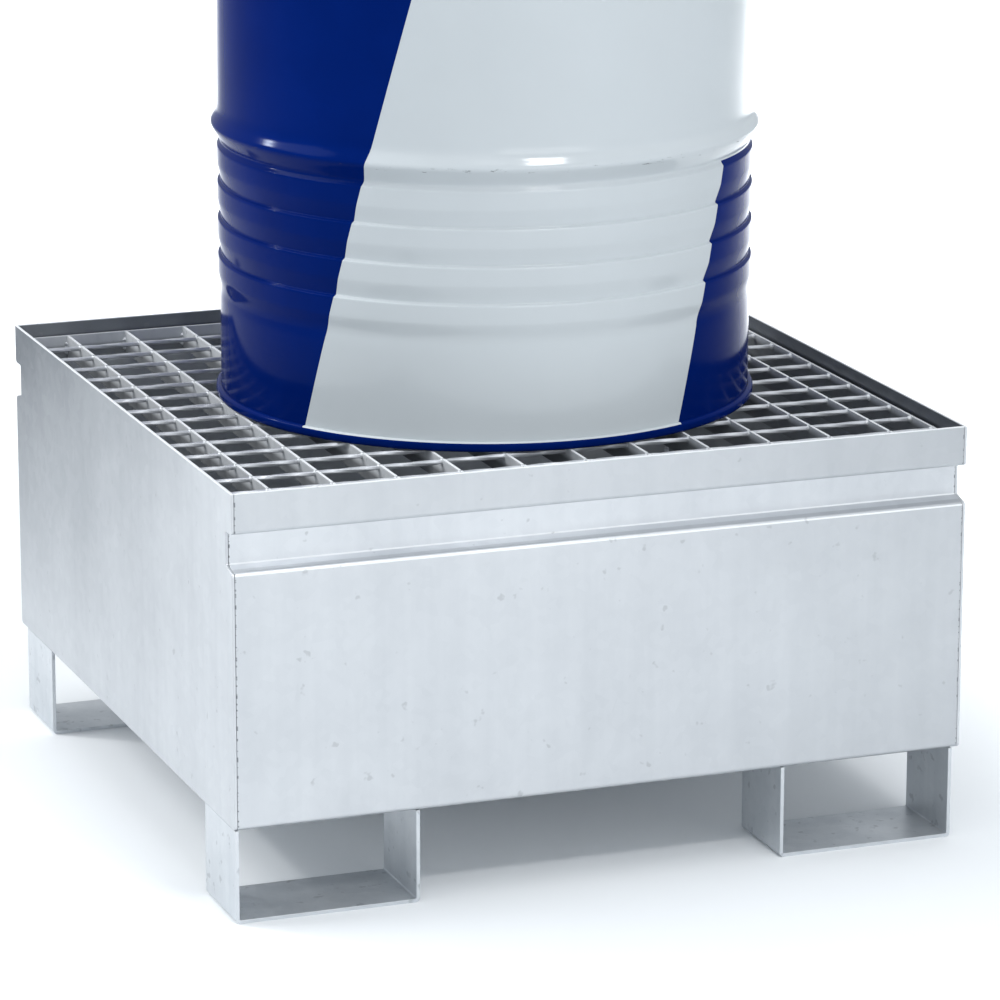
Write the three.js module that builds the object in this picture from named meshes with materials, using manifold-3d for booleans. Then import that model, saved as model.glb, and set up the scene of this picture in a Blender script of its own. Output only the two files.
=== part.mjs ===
// Spill pallet of folded galvanised sheet with a lift-out grating, carrying one open-head steel drum
// whose lid is held by a lever-lock closing ring.
//
// Millimetres, +Z up. +X is to the right along the front, +Y points to the back. The origin is on the
// floor, under the middle of the pallet.

import * as THREE from 'three';
import { mergeVertices } from 'three/addons/utils/BufferGeometryUtils.js';
import Module from 'manifold-3d';

const wasm = await Module();
wasm.setup();

// ---------------------------------------------------------------- driving dimensions

const GAP = 0.3; // between two pieces that touch

// Sump pallet
const PALLET_WIDTH = 815;
const PALLET_DEPTH = 815;
const PALLET_HEIGHT = 455;
const SHEET = 3;
const BEND_RADIUS = 3.5; // to the middle of the sheet
const BEND_STEPS = 3;
const GROUND_CLEARANCE = 100;
const GROOVE_DEPTH = 20; // how far the groove under the rim goes in
const LEDGE_TOP = 414.7; // the grating rests here
const SHELF_INNER = 377; // top of the sloping shelf where it leaves the groove wall
const SHELF_OUTER = 372; // and where it meets the main panel

// Feet: channels of thicker sheet, open to the front and back
const FOOT_WIDTH = 200;
const FOOT_DEPTH = 102;
const FOOT_SHEET = 4;
const FOOT_BEND_RADIUS = 3.5;
const RIGHT_FOOT_INSET = 8.5;
const BACK_FOOT_INSET = 25;

// Grating
const GRATING_SIZE = 800;
const BAR_THICKNESS = 3;
const BAR_DEPTH = 25;
const BAR_PITCH = 69.5;
const BAR_COUNT = 11;
const ROD_SIZE = 4.6;
const ROD_PITCH = 52.7;
const ROD_COUNT = 14;
const ROD_BELOW_TOP = 0.4;
const GRATING_BOTTOM = LEDGE_TOP + GAP;
const GRATING_TOP = GRATING_BOTTOM + BAR_DEPTH;

// Drum, with heights counted from its own base
const DRUM_X = 13;
const DRUM_Y = -7.5;
const DRUM_BASE = GRATING_TOP + GAP;
const ROUND_STEPS = 36;
const DRUM_SHEET = 1.2;
const BODY_RADIUS = 287.8;
const FOOT_RADIUS = 289.5; // the shell below its beads
const MIDDLE_RADIUS = 290.5;
const HOOP_RADIUS = 298;
const LOWER_HOOP = 302;
const UPPER_HOOP = 585;
const HOOP_HALF_HEIGHT = 21;
const HOOP_CROWN = 7; // half the height of the hoop's rounded crown
const HOOP_CROWN_FALL = 2; // how much smaller the crown is at its edges
const BEAD_RADIUS = 291.5;
const BEAD_ROOT_RADIUS = 287;
const BEAD_PITCH = 40.3;
const BEAD_COUNT = 4;
const FIRST_BEAD_TOP = 277.5;
const BEAD_FLAT = 21;
const BEAD_STEP = 3;
const CHIME_RADIUS = 295;
const CHIME_HEIGHT = 14;
const CHIME_ROUNDING = 3;
const CHIME_UPPER_ROUNDING = 5;
const SEAM_DEPTH = 3; // from the drum's base to the end of the shell inside the chime
const BOTTOM_HEIGHT = 20;
const BOTTOM_ROUNDING = 3;
const COUNTERSINK_WALL = 4.5; // thickness of the chime inside the shell
const COUNTERSINK_WIDTH = 6;
const CURL_RADIUS = 293;
const CURL_BOTTOM = 861.5;
const CURL_TOP = 871;
const CURL_ROUNDING = 3;
const CURL_LOWER_ROUNDING = 1.5;

// Lid and its gasket
const GASKET_THICKNESS = 6;
const GASKET_INNER_RADIUS = 285;
const GASKET_OUTER_RADIUS = 291.3;
const LID_EDGE_RADIUS = 293;
const LID_WALL_RADIUS = 283.2;
const LID_PANEL = 864;
const LID_RIM_UNDER = CURL_TOP + GASKET_THICKNESS + 2 * GAP;
const LID_WALL_ROUNDING = 4;
const LID_EDGE_TURN_DOWN = 3;
const LID_EDGE_ROUNDING = 1;

// Bungs in the lid
const BUNG_OFFSET = 205;
const BUNG_STEPS = 24;
const LARGE_BUNG = { threadRadius: 29, neckRadius: 33, headRadius: 34, socketRadius: 20 };
const SMALL_BUNG = { threadRadius: 12.5, neckRadius: 16, headRadius: 17, socketRadius: 8 };
const THREAD_CLEARANCE = 0.8;
const NECK_TOP = 869;
const FLANGE_WIDTH = 5;
const FLANGE_THICKNESS = 4;
const BUNG_GASKET_THICKNESS = 2;
const PLUG_HEAD_THICKNESS = 4;
const PLUG_DEPTH = 8; // below the lid panel
const PLUG_FLOOR = 3;
const BUNG_EDGE = 1; // chamfer on the flange and the plug

// Closing ring, lever and link
const RING_OUTER_RADIUS = 298.5;
const RING_SHEET = 1.5;
const RING_ROUNDING = 2;
const RING_GAP_HALF = 8;
const RING_BOTTOM = 857;
const RING_LIP_RADIUS = CURL_RADIUS + 2 * GAP;
const RING_TOP_LIP_RADIUS = 287;
const RING_TOP = LID_RIM_UNDER + DRUM_SHEET + GAP + RING_SHEET;
const RING_MIDDLE = (RING_BOTTOM + RING_TOP) / 2;
const PIN_OFFSET = 8;
const PIN_CIRCLE = RING_OUTER_RADIUS + PIN_OFFSET;
const LEVER_AZIMUTH = -32; // degrees round the drum from the front, towards +X
const LEVER_LENGTH = 180;
const LINK_PIVOT = 30; // from the lever's pin
const LINK_LENGTH = 40;
const PIN_RADIUS = 2.5;
const PIN_CLEARANCE = 0.3;
const PIN_STEPS = 12;
const LEVER_PIN_HALF = 8.5; // half the length of each pin
const LINK_PIN_HALF = 6;
const HOOK_PIN_HALF = 6.5;

// The ears of the two brackets, half the distance between them inside and outside
const BRACKET_HALF_WIDTH = 7;
const BRACKET_BACK = 2;
const BRACKET_REACH = 4.5; // past the middle of the pin
const LEVER_BRACKET_EARS = [5.5, 7.5];
const HOOK_BRACKET_EARS = [3.5, 5.5];

// The lever's handle strip and ears
const HANDLE_START = 11; // along the pin circle from the lever's pin
const HANDLE_OFFSET = 6; // from the pin circle
const HANDLE_THICKNESS = 2.5;
const HANDLE_HALF_HEIGHT = 9;
const HANDLE_STEPS = 10;
const EAR_RADIUS = 4.5;
const EAR_INNER = 3.5;
const EAR_OUTER = 5;
const EAR_PAST_LINK_PIN = 6;
const EAR_STEPS = 4;

// The link between the lever and the hook pin
const LINK_INNER_HALF = 4;
const LINK_OUTER_HALF = 5;
const LINK_HALF_HEIGHT = 2.5;
const LINK_PAST_HOOK_PIN = 7;
const LINK_END_STEPS = 6;
const MOUTH_CLEARANCE = 1;

const CUT_MARGIN = 10; // how far a cutting tool runs past what it cuts

// ---------------------------------------------------------------- materials

function surface(color, roughness, metalness) {
  return new THREE.MeshStandardMaterial({ color, roughness, metalness });
}

const galvanised = () => surface(0xc3cad0, 0.45, 0.75);
const drumPaint = () => surface(0x0b2a7d, 0.22, 0.1);
const zincPlate = () => surface(0xb8bcc0, 0.35, 0.9);
const rubber = () => surface(0x1c1c1e, 0.8, 0);

// ---------------------------------------------------------------- geometry helpers

const radians = THREE.MathUtils.degToRad;

// Signed volume of a closed mesh: negative when its faces point in.
function signedVolume(geometry) {
  const position = geometry.getAttribute('position');
  const index = geometry.getIndex();
  const a = new THREE.Vector3();
  const b = new THREE.Vector3();
  const c = new THREE.Vector3();
  let volume = 0;
  for (let i = 0; i < index.count; i += 3) {
    a.fromBufferAttribute(position, index.getX(i));
    b.fromBufferAttribute(position, index.getX(i + 1));
    c.fromBufferAttribute(position, index.getX(i + 2));
    volume += a.dot(b.cross(c)) / 6;
  }
  return volume;
}

// One closed skin with shared corners and its faces pointing out.
function closed(geometry) {
  const bare = geometry.clone();
  bare.deleteAttribute('normal');
  bare.deleteAttribute('uv');
  const merged = mergeVertices(bare, 1e-4);
  const kept = [];
  const index = merged.getIndex();
  for (let i = 0; i < index.count; i += 3) {
    const corners = [index.getX(i), index.getX(i + 1), index.getX(i + 2)];
    if (new Set(corners).size === 3) kept.push(...corners);
  }
  merged.setIndex(kept);
  if (signedVolume(merged) < 0) merged.setIndex(kept.reverse());
  return merged;
}

function toManifold(geometry) {
  const merged = closed(geometry);
  const vertProperties = new Float32Array(merged.getAttribute('position').array);
  const triVerts = new Uint32Array(merged.getIndex().array);
  return new wasm.Manifold(new wasm.Mesh({ numProp: 3, vertProperties, triVerts }));
}

function fromManifold(solid) {
  const mesh = solid.getMesh();
  const geometry = new THREE.BufferGeometry();
  geometry.setAttribute('position', new THREE.BufferAttribute(mesh.vertProperties, 3));
  geometry.setIndex(new THREE.BufferAttribute(mesh.triVerts, 1));
  return geometry;
}

function cut(geometry, ...tools) {
  let solid = toManifold(geometry);
  for (const tool of tools) solid = solid.subtract(toManifold(tool));
  return fromManifold(solid);
}

function join(geometry, ...others) {
  let solid = toManifold(geometry);
  for (const other of others) solid = solid.add(toManifold(other));
  return fromManifold(solid);
}

function shapeFrom(points) {
  return new THREE.Shape(points.map(([x, y]) => new THREE.Vector2(x, y)));
}

// An outline drawn in (y, z), extruded along X from x0 to x1.
function alongX(shape, x0, x1) {
  const geometry = new THREE.ExtrudeGeometry(shape, { depth: x1 - x0, bevelEnabled: false });
  const turn = new THREE.Matrix4().makeBasis(
    new THREE.Vector3(0, 1, 0),
    new THREE.Vector3(0, 0, 1),
    new THREE.Vector3(1, 0, 0),
  );
  geometry.applyMatrix4(turn);
  return geometry.translate(x0, 0, 0);
}

// An outline drawn in (x, z), extruded along Y from y0 to y1.
function alongY(shape, y0, y1) {
  const geometry = new THREE.ExtrudeGeometry(shape, { depth: y1 - y0, bevelEnabled: false });
  geometry.rotateX(Math.PI / 2);
  return geometry.translate(0, y1, 0);
}

// An outline drawn in (x, y), extruded along Z from z0 to z1.
function alongZ(shape, z0, z1) {
  const geometry = new THREE.ExtrudeGeometry(shape, { depth: z1 - z0, bevelEnabled: false });
  return geometry.translate(0, 0, z0);
}

// A box given by its lowest and highest corners.
function boxBetween(low, high) {
  const size = high.map((value, axis) => value - low[axis]);
  const geometry = new THREE.BoxGeometry(...size);
  return geometry.translate(...high.map((value, axis) => (value + low[axis]) / 2));
}

// A profile of [radius, height] pairs turned about the Z axis.
function revolve(profile, steps) {
  const points = profile.map(([r, z]) => new THREE.Vector2(r, z));
  const onAxis = profile[0][0] === 0 && profile[profile.length - 1][0] === 0;
  if (!onAxis) points.push(points[0].clone());
  return new THREE.LatheGeometry(points, steps).rotateX(Math.PI / 2);
}

function upright(radius, z0, z1, steps) {
  const profile = [[0, z0], [radius, z0], [radius, z1], [0, z1]];
  return revolve(profile, steps);
}

// The two sides of a folded sheet whose middle line runs through the corners given.
function sheetSides(corners, thickness, bendRadius) {
  const left = [];
  const right = [];
  const points = corners.map(([x, y]) => new THREE.Vector2(x, y));
  const direction = (i) => points[i + 1].clone().sub(points[i]).normalize();
  const leftOf = (d) => new THREE.Vector2(-d.y, d.x);
  const addPair = (point, normal) => {
    left.push(point.clone().addScaledVector(normal, thickness / 2).toArray());
    right.push(point.clone().addScaledVector(normal, -thickness / 2).toArray());
  };
  addPair(points[0], leftOf(direction(0)));
  for (let i = 1; i < points.length - 1; i += 1) {
    const before = direction(i - 1);
    const after = direction(i);
    const turn = Math.atan2(before.cross(after), before.dot(after));
    const side = Math.sign(turn);
    const setback = bendRadius * Math.tan(Math.abs(turn) / 2);
    const start = points[i].clone().addScaledVector(before, -setback);
    const centre = start.clone().addScaledVector(leftOf(before), side * bendRadius);
    for (let step = 0; step <= BEND_STEPS; step += 1) {
      const angle = (turn * step) / BEND_STEPS;
      const spoke = leftOf(before).rotateAround(new THREE.Vector2(), angle);
      addPair(centre.clone().addScaledVector(spoke, -side * bendRadius), spoke);
    }
  }
  addPair(points[points.length - 1], leftOf(direction(points.length - 2)));
  return { left, right };
}

function named(name, geometry, material) {
  const mesh = new THREE.Mesh(closed(geometry), material);
  mesh.name = name;
  return mesh;
}

// ---------------------------------------------------------------- sump pallet

// Middle line of the folded sheet: front wall, floor and back wall, with the groove under both rims.
function troughLine() {
  const wall = PALLET_DEPTH / 2 - SHEET / 2;
  const grooveWall = wall - GROOVE_DEPTH;
  const ledge = LEDGE_TOP - SHEET / 2;
  const front = [
    [-wall, PALLET_HEIGHT],
    [-wall, ledge],
    [-grooveWall, ledge],
    [-grooveWall, SHELF_INNER - SHEET / 2],
    [-wall, SHELF_OUTER - SHEET / 2],
    [-wall, GROUND_CLEARANCE + SHEET / 2],
  ];
  const back = front.map(([y, z]) => [-y, z]).reverse();
  return [...front, ...back];
}

function sumpPallet() {
  const group = new THREE.Group();
  const sides = sheetSides(troughLine(), SHEET, BEND_RADIUS);
  const half = PALLET_WIDTH / 2;
  const plateInner = half - SHEET;
  const trough = shapeFrom([...sides.left, ...sides.right.reverse()]);
  group.add(named('sump_trough', alongX(trough, -plateInner + GAP, plateInner - GAP), galvanised()));
  const plate = shapeFrom(sides.right);
  group.add(named('left_side_plate', alongX(plate, -half, -plateInner), galvanised()));
  group.add(named('right_side_plate', alongX(plate, plateInner, half), galvanised()));
  return group;
}

function foot(name, x0, y0) {
  const top = GROUND_CLEARANCE - GAP;
  const middle = FOOT_SHEET / 2;
  const line = [
    [x0 + middle, top],
    [x0 + middle, middle],
    [x0 + FOOT_WIDTH - middle, middle],
    [x0 + FOOT_WIDTH - middle, top],
  ];
  const sides = sheetSides(line, FOOT_SHEET, FOOT_BEND_RADIUS);
  const outline = shapeFrom([...sides.left, ...sides.right.reverse()]);
  return named(name, alongY(outline, y0, y0 + FOOT_DEPTH), galvanised());
}

function feet() {
  const group = new THREE.Group();
  const leftX = -PALLET_WIDTH / 2;
  const rightX = PALLET_WIDTH / 2 - RIGHT_FOOT_INSET - FOOT_WIDTH;
  const frontY = -PALLET_DEPTH / 2;
  const backY = PALLET_DEPTH / 2 - BACK_FOOT_INSET - FOOT_DEPTH;
  group.add(foot('foot_front_left', leftX, frontY));
  group.add(foot('foot_front_right', rightX, frontY));
  group.add(foot('foot_back_left', leftX, backY));
  group.add(foot('foot_back_right', rightX, backY));
  return group;
}

// ---------------------------------------------------------------- grating

const twoDigits = (number) => String(number).padStart(2, '0');
const rodY = (i) => (i - (ROD_COUNT - 1) / 2) * ROD_PITCH;
const barX = (i) => (i - (BAR_COUNT - 1) / 2) * BAR_PITCH;

// A bearing bar seen from the side, with a slot in its top edge for each cross rod.
function slottedBar() {
  const end = GRATING_SIZE / 2 - BAR_THICKNESS - GAP;
  const slotHalf = ROD_SIZE / 2 + GAP;
  const slotBottom = GRATING_TOP - ROD_BELOW_TOP - ROD_SIZE - GAP;
  const outline = [[-end, GRATING_BOTTOM], [end, GRATING_BOTTOM], [end, GRATING_TOP]];
  for (let i = ROD_COUNT - 1; i >= 0; i -= 1) {
    outline.push([rodY(i) + slotHalf, GRATING_TOP]);
    outline.push([rodY(i) + slotHalf, slotBottom]);
    outline.push([rodY(i) - slotHalf, slotBottom]);
    outline.push([rodY(i) - slotHalf, GRATING_TOP]);
  }
  outline.push([-end, GRATING_TOP]);
  return shapeFrom(outline);
}

function grating() {
  const group = new THREE.Group();
  const half = GRATING_SIZE / 2;
  const inner = half - BAR_THICKNESS;
  const bar = slottedBar();
  for (let i = 0; i < BAR_COUNT; i += 1) {
    const x = barX(i) - BAR_THICKNESS / 2;
    group.add(named(`bearing_bar_${twoDigits(i + 1)}`, alongX(bar, x, x + BAR_THICKNESS), galvanised()));
  }
  const rodTop = GRATING_TOP - ROD_BELOW_TOP;
  for (let i = 0; i < ROD_COUNT; i += 1) {
    const low = [-inner + GAP, rodY(i) - ROD_SIZE / 2, rodTop - ROD_SIZE];
    const high = [inner - GAP, rodY(i) + ROD_SIZE / 2, rodTop];
    group.add(named(`cross_rod_${twoDigits(i + 1)}`, boxBetween(low, high), galvanised()));
  }
  for (const [name, side] of [['left', -1], ['right', 1]]) {
    const x = side * (half - BAR_THICKNESS / 2) - BAR_THICKNESS / 2;
    const low = [x, -inner + GAP, GRATING_BOTTOM];
    const high = [x + BAR_THICKNESS, inner - GAP, GRATING_TOP];
    group.add(named(`edge_bar_${name}`, boxBetween(low, high), galvanised()));
  }
  for (const [name, side] of [['front', -1], ['back', 1]]) {
    const y = side * (half - BAR_THICKNESS / 2) - BAR_THICKNESS / 2;
    const low = [-half, y, GRATING_BOTTOM];
    const high = [half, y + BAR_THICKNESS, GRATING_TOP];
    group.add(named(`end_bar_${name}`, boxBetween(low, high), galvanised()));
  }
  return group;
}

// ---------------------------------------------------------------- drum body

function hoop(height, radiusBelow, radiusAbove) {
  return [
    [radiusBelow, height - HOOP_HALF_HEIGHT],
    [HOOP_RADIUS - HOOP_CROWN_FALL, height - HOOP_CROWN],
    [HOOP_RADIUS, height],
    [HOOP_RADIUS - HOOP_CROWN_FALL, height + HOOP_CROWN],
    [radiusAbove, height + HOOP_HALF_HEIGHT],
  ];
}

// The small beads under the lower hoop, from the bottom up: a long taper, then a sharp upper step.
function beads() {
  const points = [];
  for (let i = BEAD_COUNT - 1; i >= 0; i -= 1) {
    const top = FIRST_BEAD_TOP - i * BEAD_PITCH;
    points.push([BEAD_ROOT_RADIUS, top - BEAD_PITCH + BEAD_STEP]);
    points.push([BEAD_RADIUS, top - BEAD_FLAT]);
    points.push([BEAD_RADIUS, top - BEAD_STEP]);
  }
  return points;
}

function shellOutside() {
  return [
    [FOOT_RADIUS, SEAM_DEPTH + GAP],
    [FOOT_RADIUS, FIRST_BEAD_TOP - BEAD_COUNT * BEAD_PITCH],
    ...beads().slice(1),
    ...hoop(LOWER_HOOP, BEAD_ROOT_RADIUS, MIDDLE_RADIUS),
    ...hoop(UPPER_HOOP, MIDDLE_RADIUS, BODY_RADIUS),
    [BODY_RADIUS, CURL_BOTTOM],
  ];
}

function drumShell() {
  const outside = shellOutside();
  const inside = outside.map(([r, z]) => [r - DRUM_SHEET, z]).reverse();
  const curl = [
    [CURL_RADIUS - CURL_LOWER_ROUNDING, CURL_BOTTOM],
    [CURL_RADIUS, CURL_BOTTOM + CURL_LOWER_ROUNDING],
    [CURL_RADIUS, CURL_TOP - CURL_ROUNDING],
    [CURL_RADIUS - CURL_ROUNDING, CURL_TOP],
    [BODY_RADIUS - DRUM_SHEET + CURL_LOWER_ROUNDING, CURL_TOP],
    [BODY_RADIUS - DRUM_SHEET, CURL_TOP - CURL_ROUNDING],
  ];
  return named('drum_shell', revolve([...outside, ...curl, ...inside], ROUND_STEPS), drumPaint());
}

// The bottom head is seamed round the lower end of the shell, and the seam is the chime.
function bottomHead() {
  const seamInner = FOOT_RADIUS - DRUM_SHEET - GAP;
  const seamOuter = FOOT_RADIUS + GAP;
  const wallRadius = seamInner - COUNTERSINK_WALL;
  const profile = [
    [0, BOTTOM_HEIGHT - DRUM_SHEET],
    [wallRadius - COUNTERSINK_WIDTH, BOTTOM_HEIGHT - DRUM_SHEET],
    [wallRadius, BOTTOM_HEIGHT - COUNTERSINK_WIDTH],
    [wallRadius, CHIME_ROUNDING],
    [wallRadius + CHIME_ROUNDING, 0],
    [CHIME_RADIUS - CHIME_ROUNDING, 0],
    [CHIME_RADIUS, CHIME_ROUNDING],
    [CHIME_RADIUS, CHIME_HEIGHT - CHIME_UPPER_ROUNDING],
    [CHIME_RADIUS - CHIME_ROUNDING, CHIME_HEIGHT],
    [seamOuter, CHIME_HEIGHT],
    [seamOuter, SEAM_DEPTH],
    [seamInner, SEAM_DEPTH],
    [seamInner, BOTTOM_HEIGHT - BOTTOM_ROUNDING],
    [seamInner - BOTTOM_ROUNDING, BOTTOM_HEIGHT],
    [0, BOTTOM_HEIGHT],
  ];
  return named('bottom_head', revolve(profile, ROUND_STEPS), drumPaint());
}

// ---------------------------------------------------------------- lid and bungs

function bungHole(bung, side) {
  const low = LID_PANEL - CUT_MARGIN;
  const high = LID_PANEL + CUT_MARGIN;
  const hole = upright(bung.neckRadius + GAP, low, high, BUNG_STEPS);
  return hole.translate(side * BUNG_OFFSET, 0, 0);
}

function lid() {
  const panelTop = LID_PANEL + DRUM_SHEET;
  const rimTop = LID_RIM_UNDER + DRUM_SHEET;
  const edgeInner = LID_EDGE_RADIUS - DRUM_SHEET;
  const edgeLow = LID_RIM_UNDER - LID_EDGE_TURN_DOWN;
  const wallInner = LID_WALL_RADIUS - DRUM_SHEET;
  const profile = [
    [0, LID_PANEL],
    [LID_WALL_RADIUS - LID_WALL_ROUNDING, LID_PANEL],
    [LID_WALL_RADIUS, LID_PANEL + LID_WALL_ROUNDING],
    [LID_WALL_RADIUS + DRUM_SHEET, LID_RIM_UNDER],
    [edgeInner, LID_RIM_UNDER],
    [edgeInner, edgeLow],
    [LID_EDGE_RADIUS, edgeLow],
    [LID_EDGE_RADIUS, rimTop - LID_EDGE_ROUNDING],
    [LID_EDGE_RADIUS - LID_EDGE_ROUNDING, rimTop],
    [LID_WALL_RADIUS, rimTop],
    [wallInner, rimTop - LID_EDGE_ROUNDING],
    [wallInner, panelTop + LID_WALL_ROUNDING],
    [wallInner - LID_WALL_ROUNDING, panelTop],
    [0, panelTop],
  ];
  const holes = [bungHole(LARGE_BUNG, 1), bungHole(SMALL_BUNG, -1)];
  return named('drum_lid', cut(revolve(profile, ROUND_STEPS), ...holes), drumPaint());
}

function lidGasket() {
  const bottom = CURL_TOP + GAP;
  const top = bottom + GASKET_THICKNESS;
  const profile = [
    [GASKET_INNER_RADIUS, bottom],
    [GASKET_OUTER_RADIUS, bottom],
    [GASKET_OUTER_RADIUS, top],
    [GASKET_INNER_RADIUS, top],
  ];
  return named('lid_gasket', revolve(profile, ROUND_STEPS), rubber());
}

// The threaded flange sits under the lid panel with its neck standing up through the hole.
function bungFlange(prefix, bung) {
  const bore = bung.threadRadius + THREAD_CLEARANCE;
  const flangeRadius = bung.neckRadius + FLANGE_WIDTH;
  const top = LID_PANEL - GAP;
  const profile = [
    [bore, top - FLANGE_THICKNESS],
    [flangeRadius, top - FLANGE_THICKNESS],
    [flangeRadius, top],
    [bung.neckRadius, top],
    [bung.neckRadius, NECK_TOP - BUNG_EDGE],
    [bung.neckRadius - BUNG_EDGE, NECK_TOP],
    [bore, NECK_TOP],
  ];
  return named(`${prefix}_bung_flange`, revolve(profile, BUNG_STEPS), zincPlate());
}

function bungGasket(prefix, bung) {
  const bottom = NECK_TOP + GAP;
  const inner = bung.threadRadius + GAP;
  const profile = [
    [inner, bottom],
    [bung.neckRadius, bottom],
    [bung.neckRadius, bottom + BUNG_GASKET_THICKNESS],
    [inner, bottom + BUNG_GASKET_THICKNESS],
  ];
  return named(`${prefix}_bung_gasket`, revolve(profile, BUNG_STEPS), rubber());
}

// A cup-shaped plug whose hollow takes the bung wrench.
function bungPlug(prefix, bung) {
  const headUnder = NECK_TOP + BUNG_GASKET_THICKNESS + 2 * GAP;
  const headTop = headUnder + PLUG_HEAD_THICKNESS;
  const bottom = LID_PANEL - PLUG_DEPTH;
  const profile = [
    [0, bottom],
    [bung.threadRadius - BUNG_EDGE, bottom],
    [bung.threadRadius, bottom + BUNG_EDGE],
    [bung.threadRadius, headUnder],
    [bung.headRadius, headUnder],
    [bung.headRadius, headTop - BUNG_EDGE],
    [bung.headRadius - BUNG_EDGE, headTop],
    [bung.socketRadius, headTop],
    [bung.socketRadius, bottom + PLUG_FLOOR],
    [0, bottom + PLUG_FLOOR],
  ];
  return named(`${prefix}_bung_plug`, revolve(profile, BUNG_STEPS), zincPlate());
}

function bungAssembly(prefix, bung, side) {
  const group = new THREE.Group();
  group.add(bungFlange(prefix, bung));
  group.add(bungGasket(prefix, bung));
  group.add(bungPlug(prefix, bung));
  group.position.x = side * BUNG_OFFSET;
  return group;
}

// ---------------------------------------------------------------- closing ring, lever and link

// Degrees round the drum taken up by a length along the pin circle.
const arcDegrees = (length) => THREE.MathUtils.radToDeg(length / PIN_CIRCLE);
const LINK_PIN_AZIMUTH = LEVER_AZIMUTH + arcDegrees(LINK_PIVOT);
const HOOK_PIN_AZIMUTH = LINK_PIN_AZIMUTH + arcDegrees(LINK_LENGTH);

// Turns a piece drawn at the front of the drum, where -Y is outwards, to its azimuth.
function atAzimuth(geometry, azimuth) {
  return geometry.rotateZ(radians(azimuth));
}

function closingRing() {
  const outer = RING_OUTER_RADIUS;
  const inner = outer - RING_SHEET;
  const profile = [
    [RING_LIP_RADIUS, RING_BOTTOM],
    [outer - RING_ROUNDING, RING_BOTTOM],
    [outer, RING_BOTTOM + RING_ROUNDING],
    [outer, RING_TOP - RING_ROUNDING],
    [outer - RING_ROUNDING, RING_TOP],
    [RING_TOP_LIP_RADIUS, RING_TOP],
    [RING_TOP_LIP_RADIUS, RING_TOP - RING_SHEET],
    [inner, RING_TOP - RING_SHEET],
    [inner, RING_BOTTOM + RING_SHEET],
    [RING_LIP_RADIUS, RING_BOTTOM + RING_SHEET],
  ];
  const low = [-RING_GAP_HALF, -outer - CUT_MARGIN, RING_BOTTOM - CUT_MARGIN];
  const high = [RING_GAP_HALF, -RING_TOP_LIP_RADIUS + CUT_MARGIN, RING_TOP + CUT_MARGIN];
  const middle = (LEVER_AZIMUTH + HOOK_PIN_AZIMUTH) / 2;
  const split = atAzimuth(boxBetween(low, high), middle);
  return named('closing_ring', cut(revolve(profile, ROUND_STEPS), split), zincPlate());
}

// A hole for a pin at the front of the drum, long enough to go through any piece there.
function pinHole() {
  const radius = PIN_RADIUS + PIN_CLEARANCE;
  const hole = upright(radius, RING_BOTTOM - CUT_MARGIN, RING_TOP + CUT_MARGIN, PIN_STEPS);
  return hole.translate(0, -PIN_CIRCLE, 0);
}

// A pair of ears standing out from the ring, joined by a back plate, with a hole for the pin.
function ringBracket(name, azimuth, [earInner, earOuter]) {
  const wall = RING_OUTER_RADIUS + GAP;
  const plate = boxBetween(
    [-BRACKET_HALF_WIDTH, -wall - BRACKET_BACK, RING_MIDDLE - earOuter],
    [BRACKET_HALF_WIDTH, -wall, RING_MIDDLE + earOuter],
  );
  const ears = [[-earOuter, -earInner], [earInner, earOuter]].map(([low, high]) => boxBetween(
    [-BRACKET_HALF_WIDTH, -PIN_CIRCLE - BRACKET_REACH, RING_MIDDLE + low],
    [BRACKET_HALF_WIDTH, -wall - BRACKET_BACK / 2, RING_MIDDLE + high],
  ));
  const bracket = cut(join(plate, ...ears), pinHole());
  return named(name, atAzimuth(bracket, azimuth), zincPlate());
}

function pin(name, azimuth, halfLength) {
  const geometry = upright(PIN_RADIUS, RING_MIDDLE - halfLength, RING_MIDDLE + halfLength, PIN_STEPS);
  geometry.translate(0, -PIN_CIRCLE, 0);
  return named(name, atAzimuth(geometry, azimuth), zincPlate());
}

// Points of an arc round the drum's axis, from one azimuth to another, in degrees.
function arcPoints(radius, from, to, steps) {
  const points = [];
  for (let i = 0; i <= steps; i += 1) {
    const angle = radians(from + ((to - from) * i) / steps);
    points.push([radius * Math.sin(angle), -radius * Math.cos(angle)]);
  }
  return points;
}

// A band between two radii, from one azimuth to another.
function bandShape(inner, outer, from, to, steps) {
  const outside = arcPoints(outer, from, to, steps);
  const inside = arcPoints(inner, from, to, steps).reverse();
  return shapeFrom([...outside, ...inside]);
}

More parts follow.
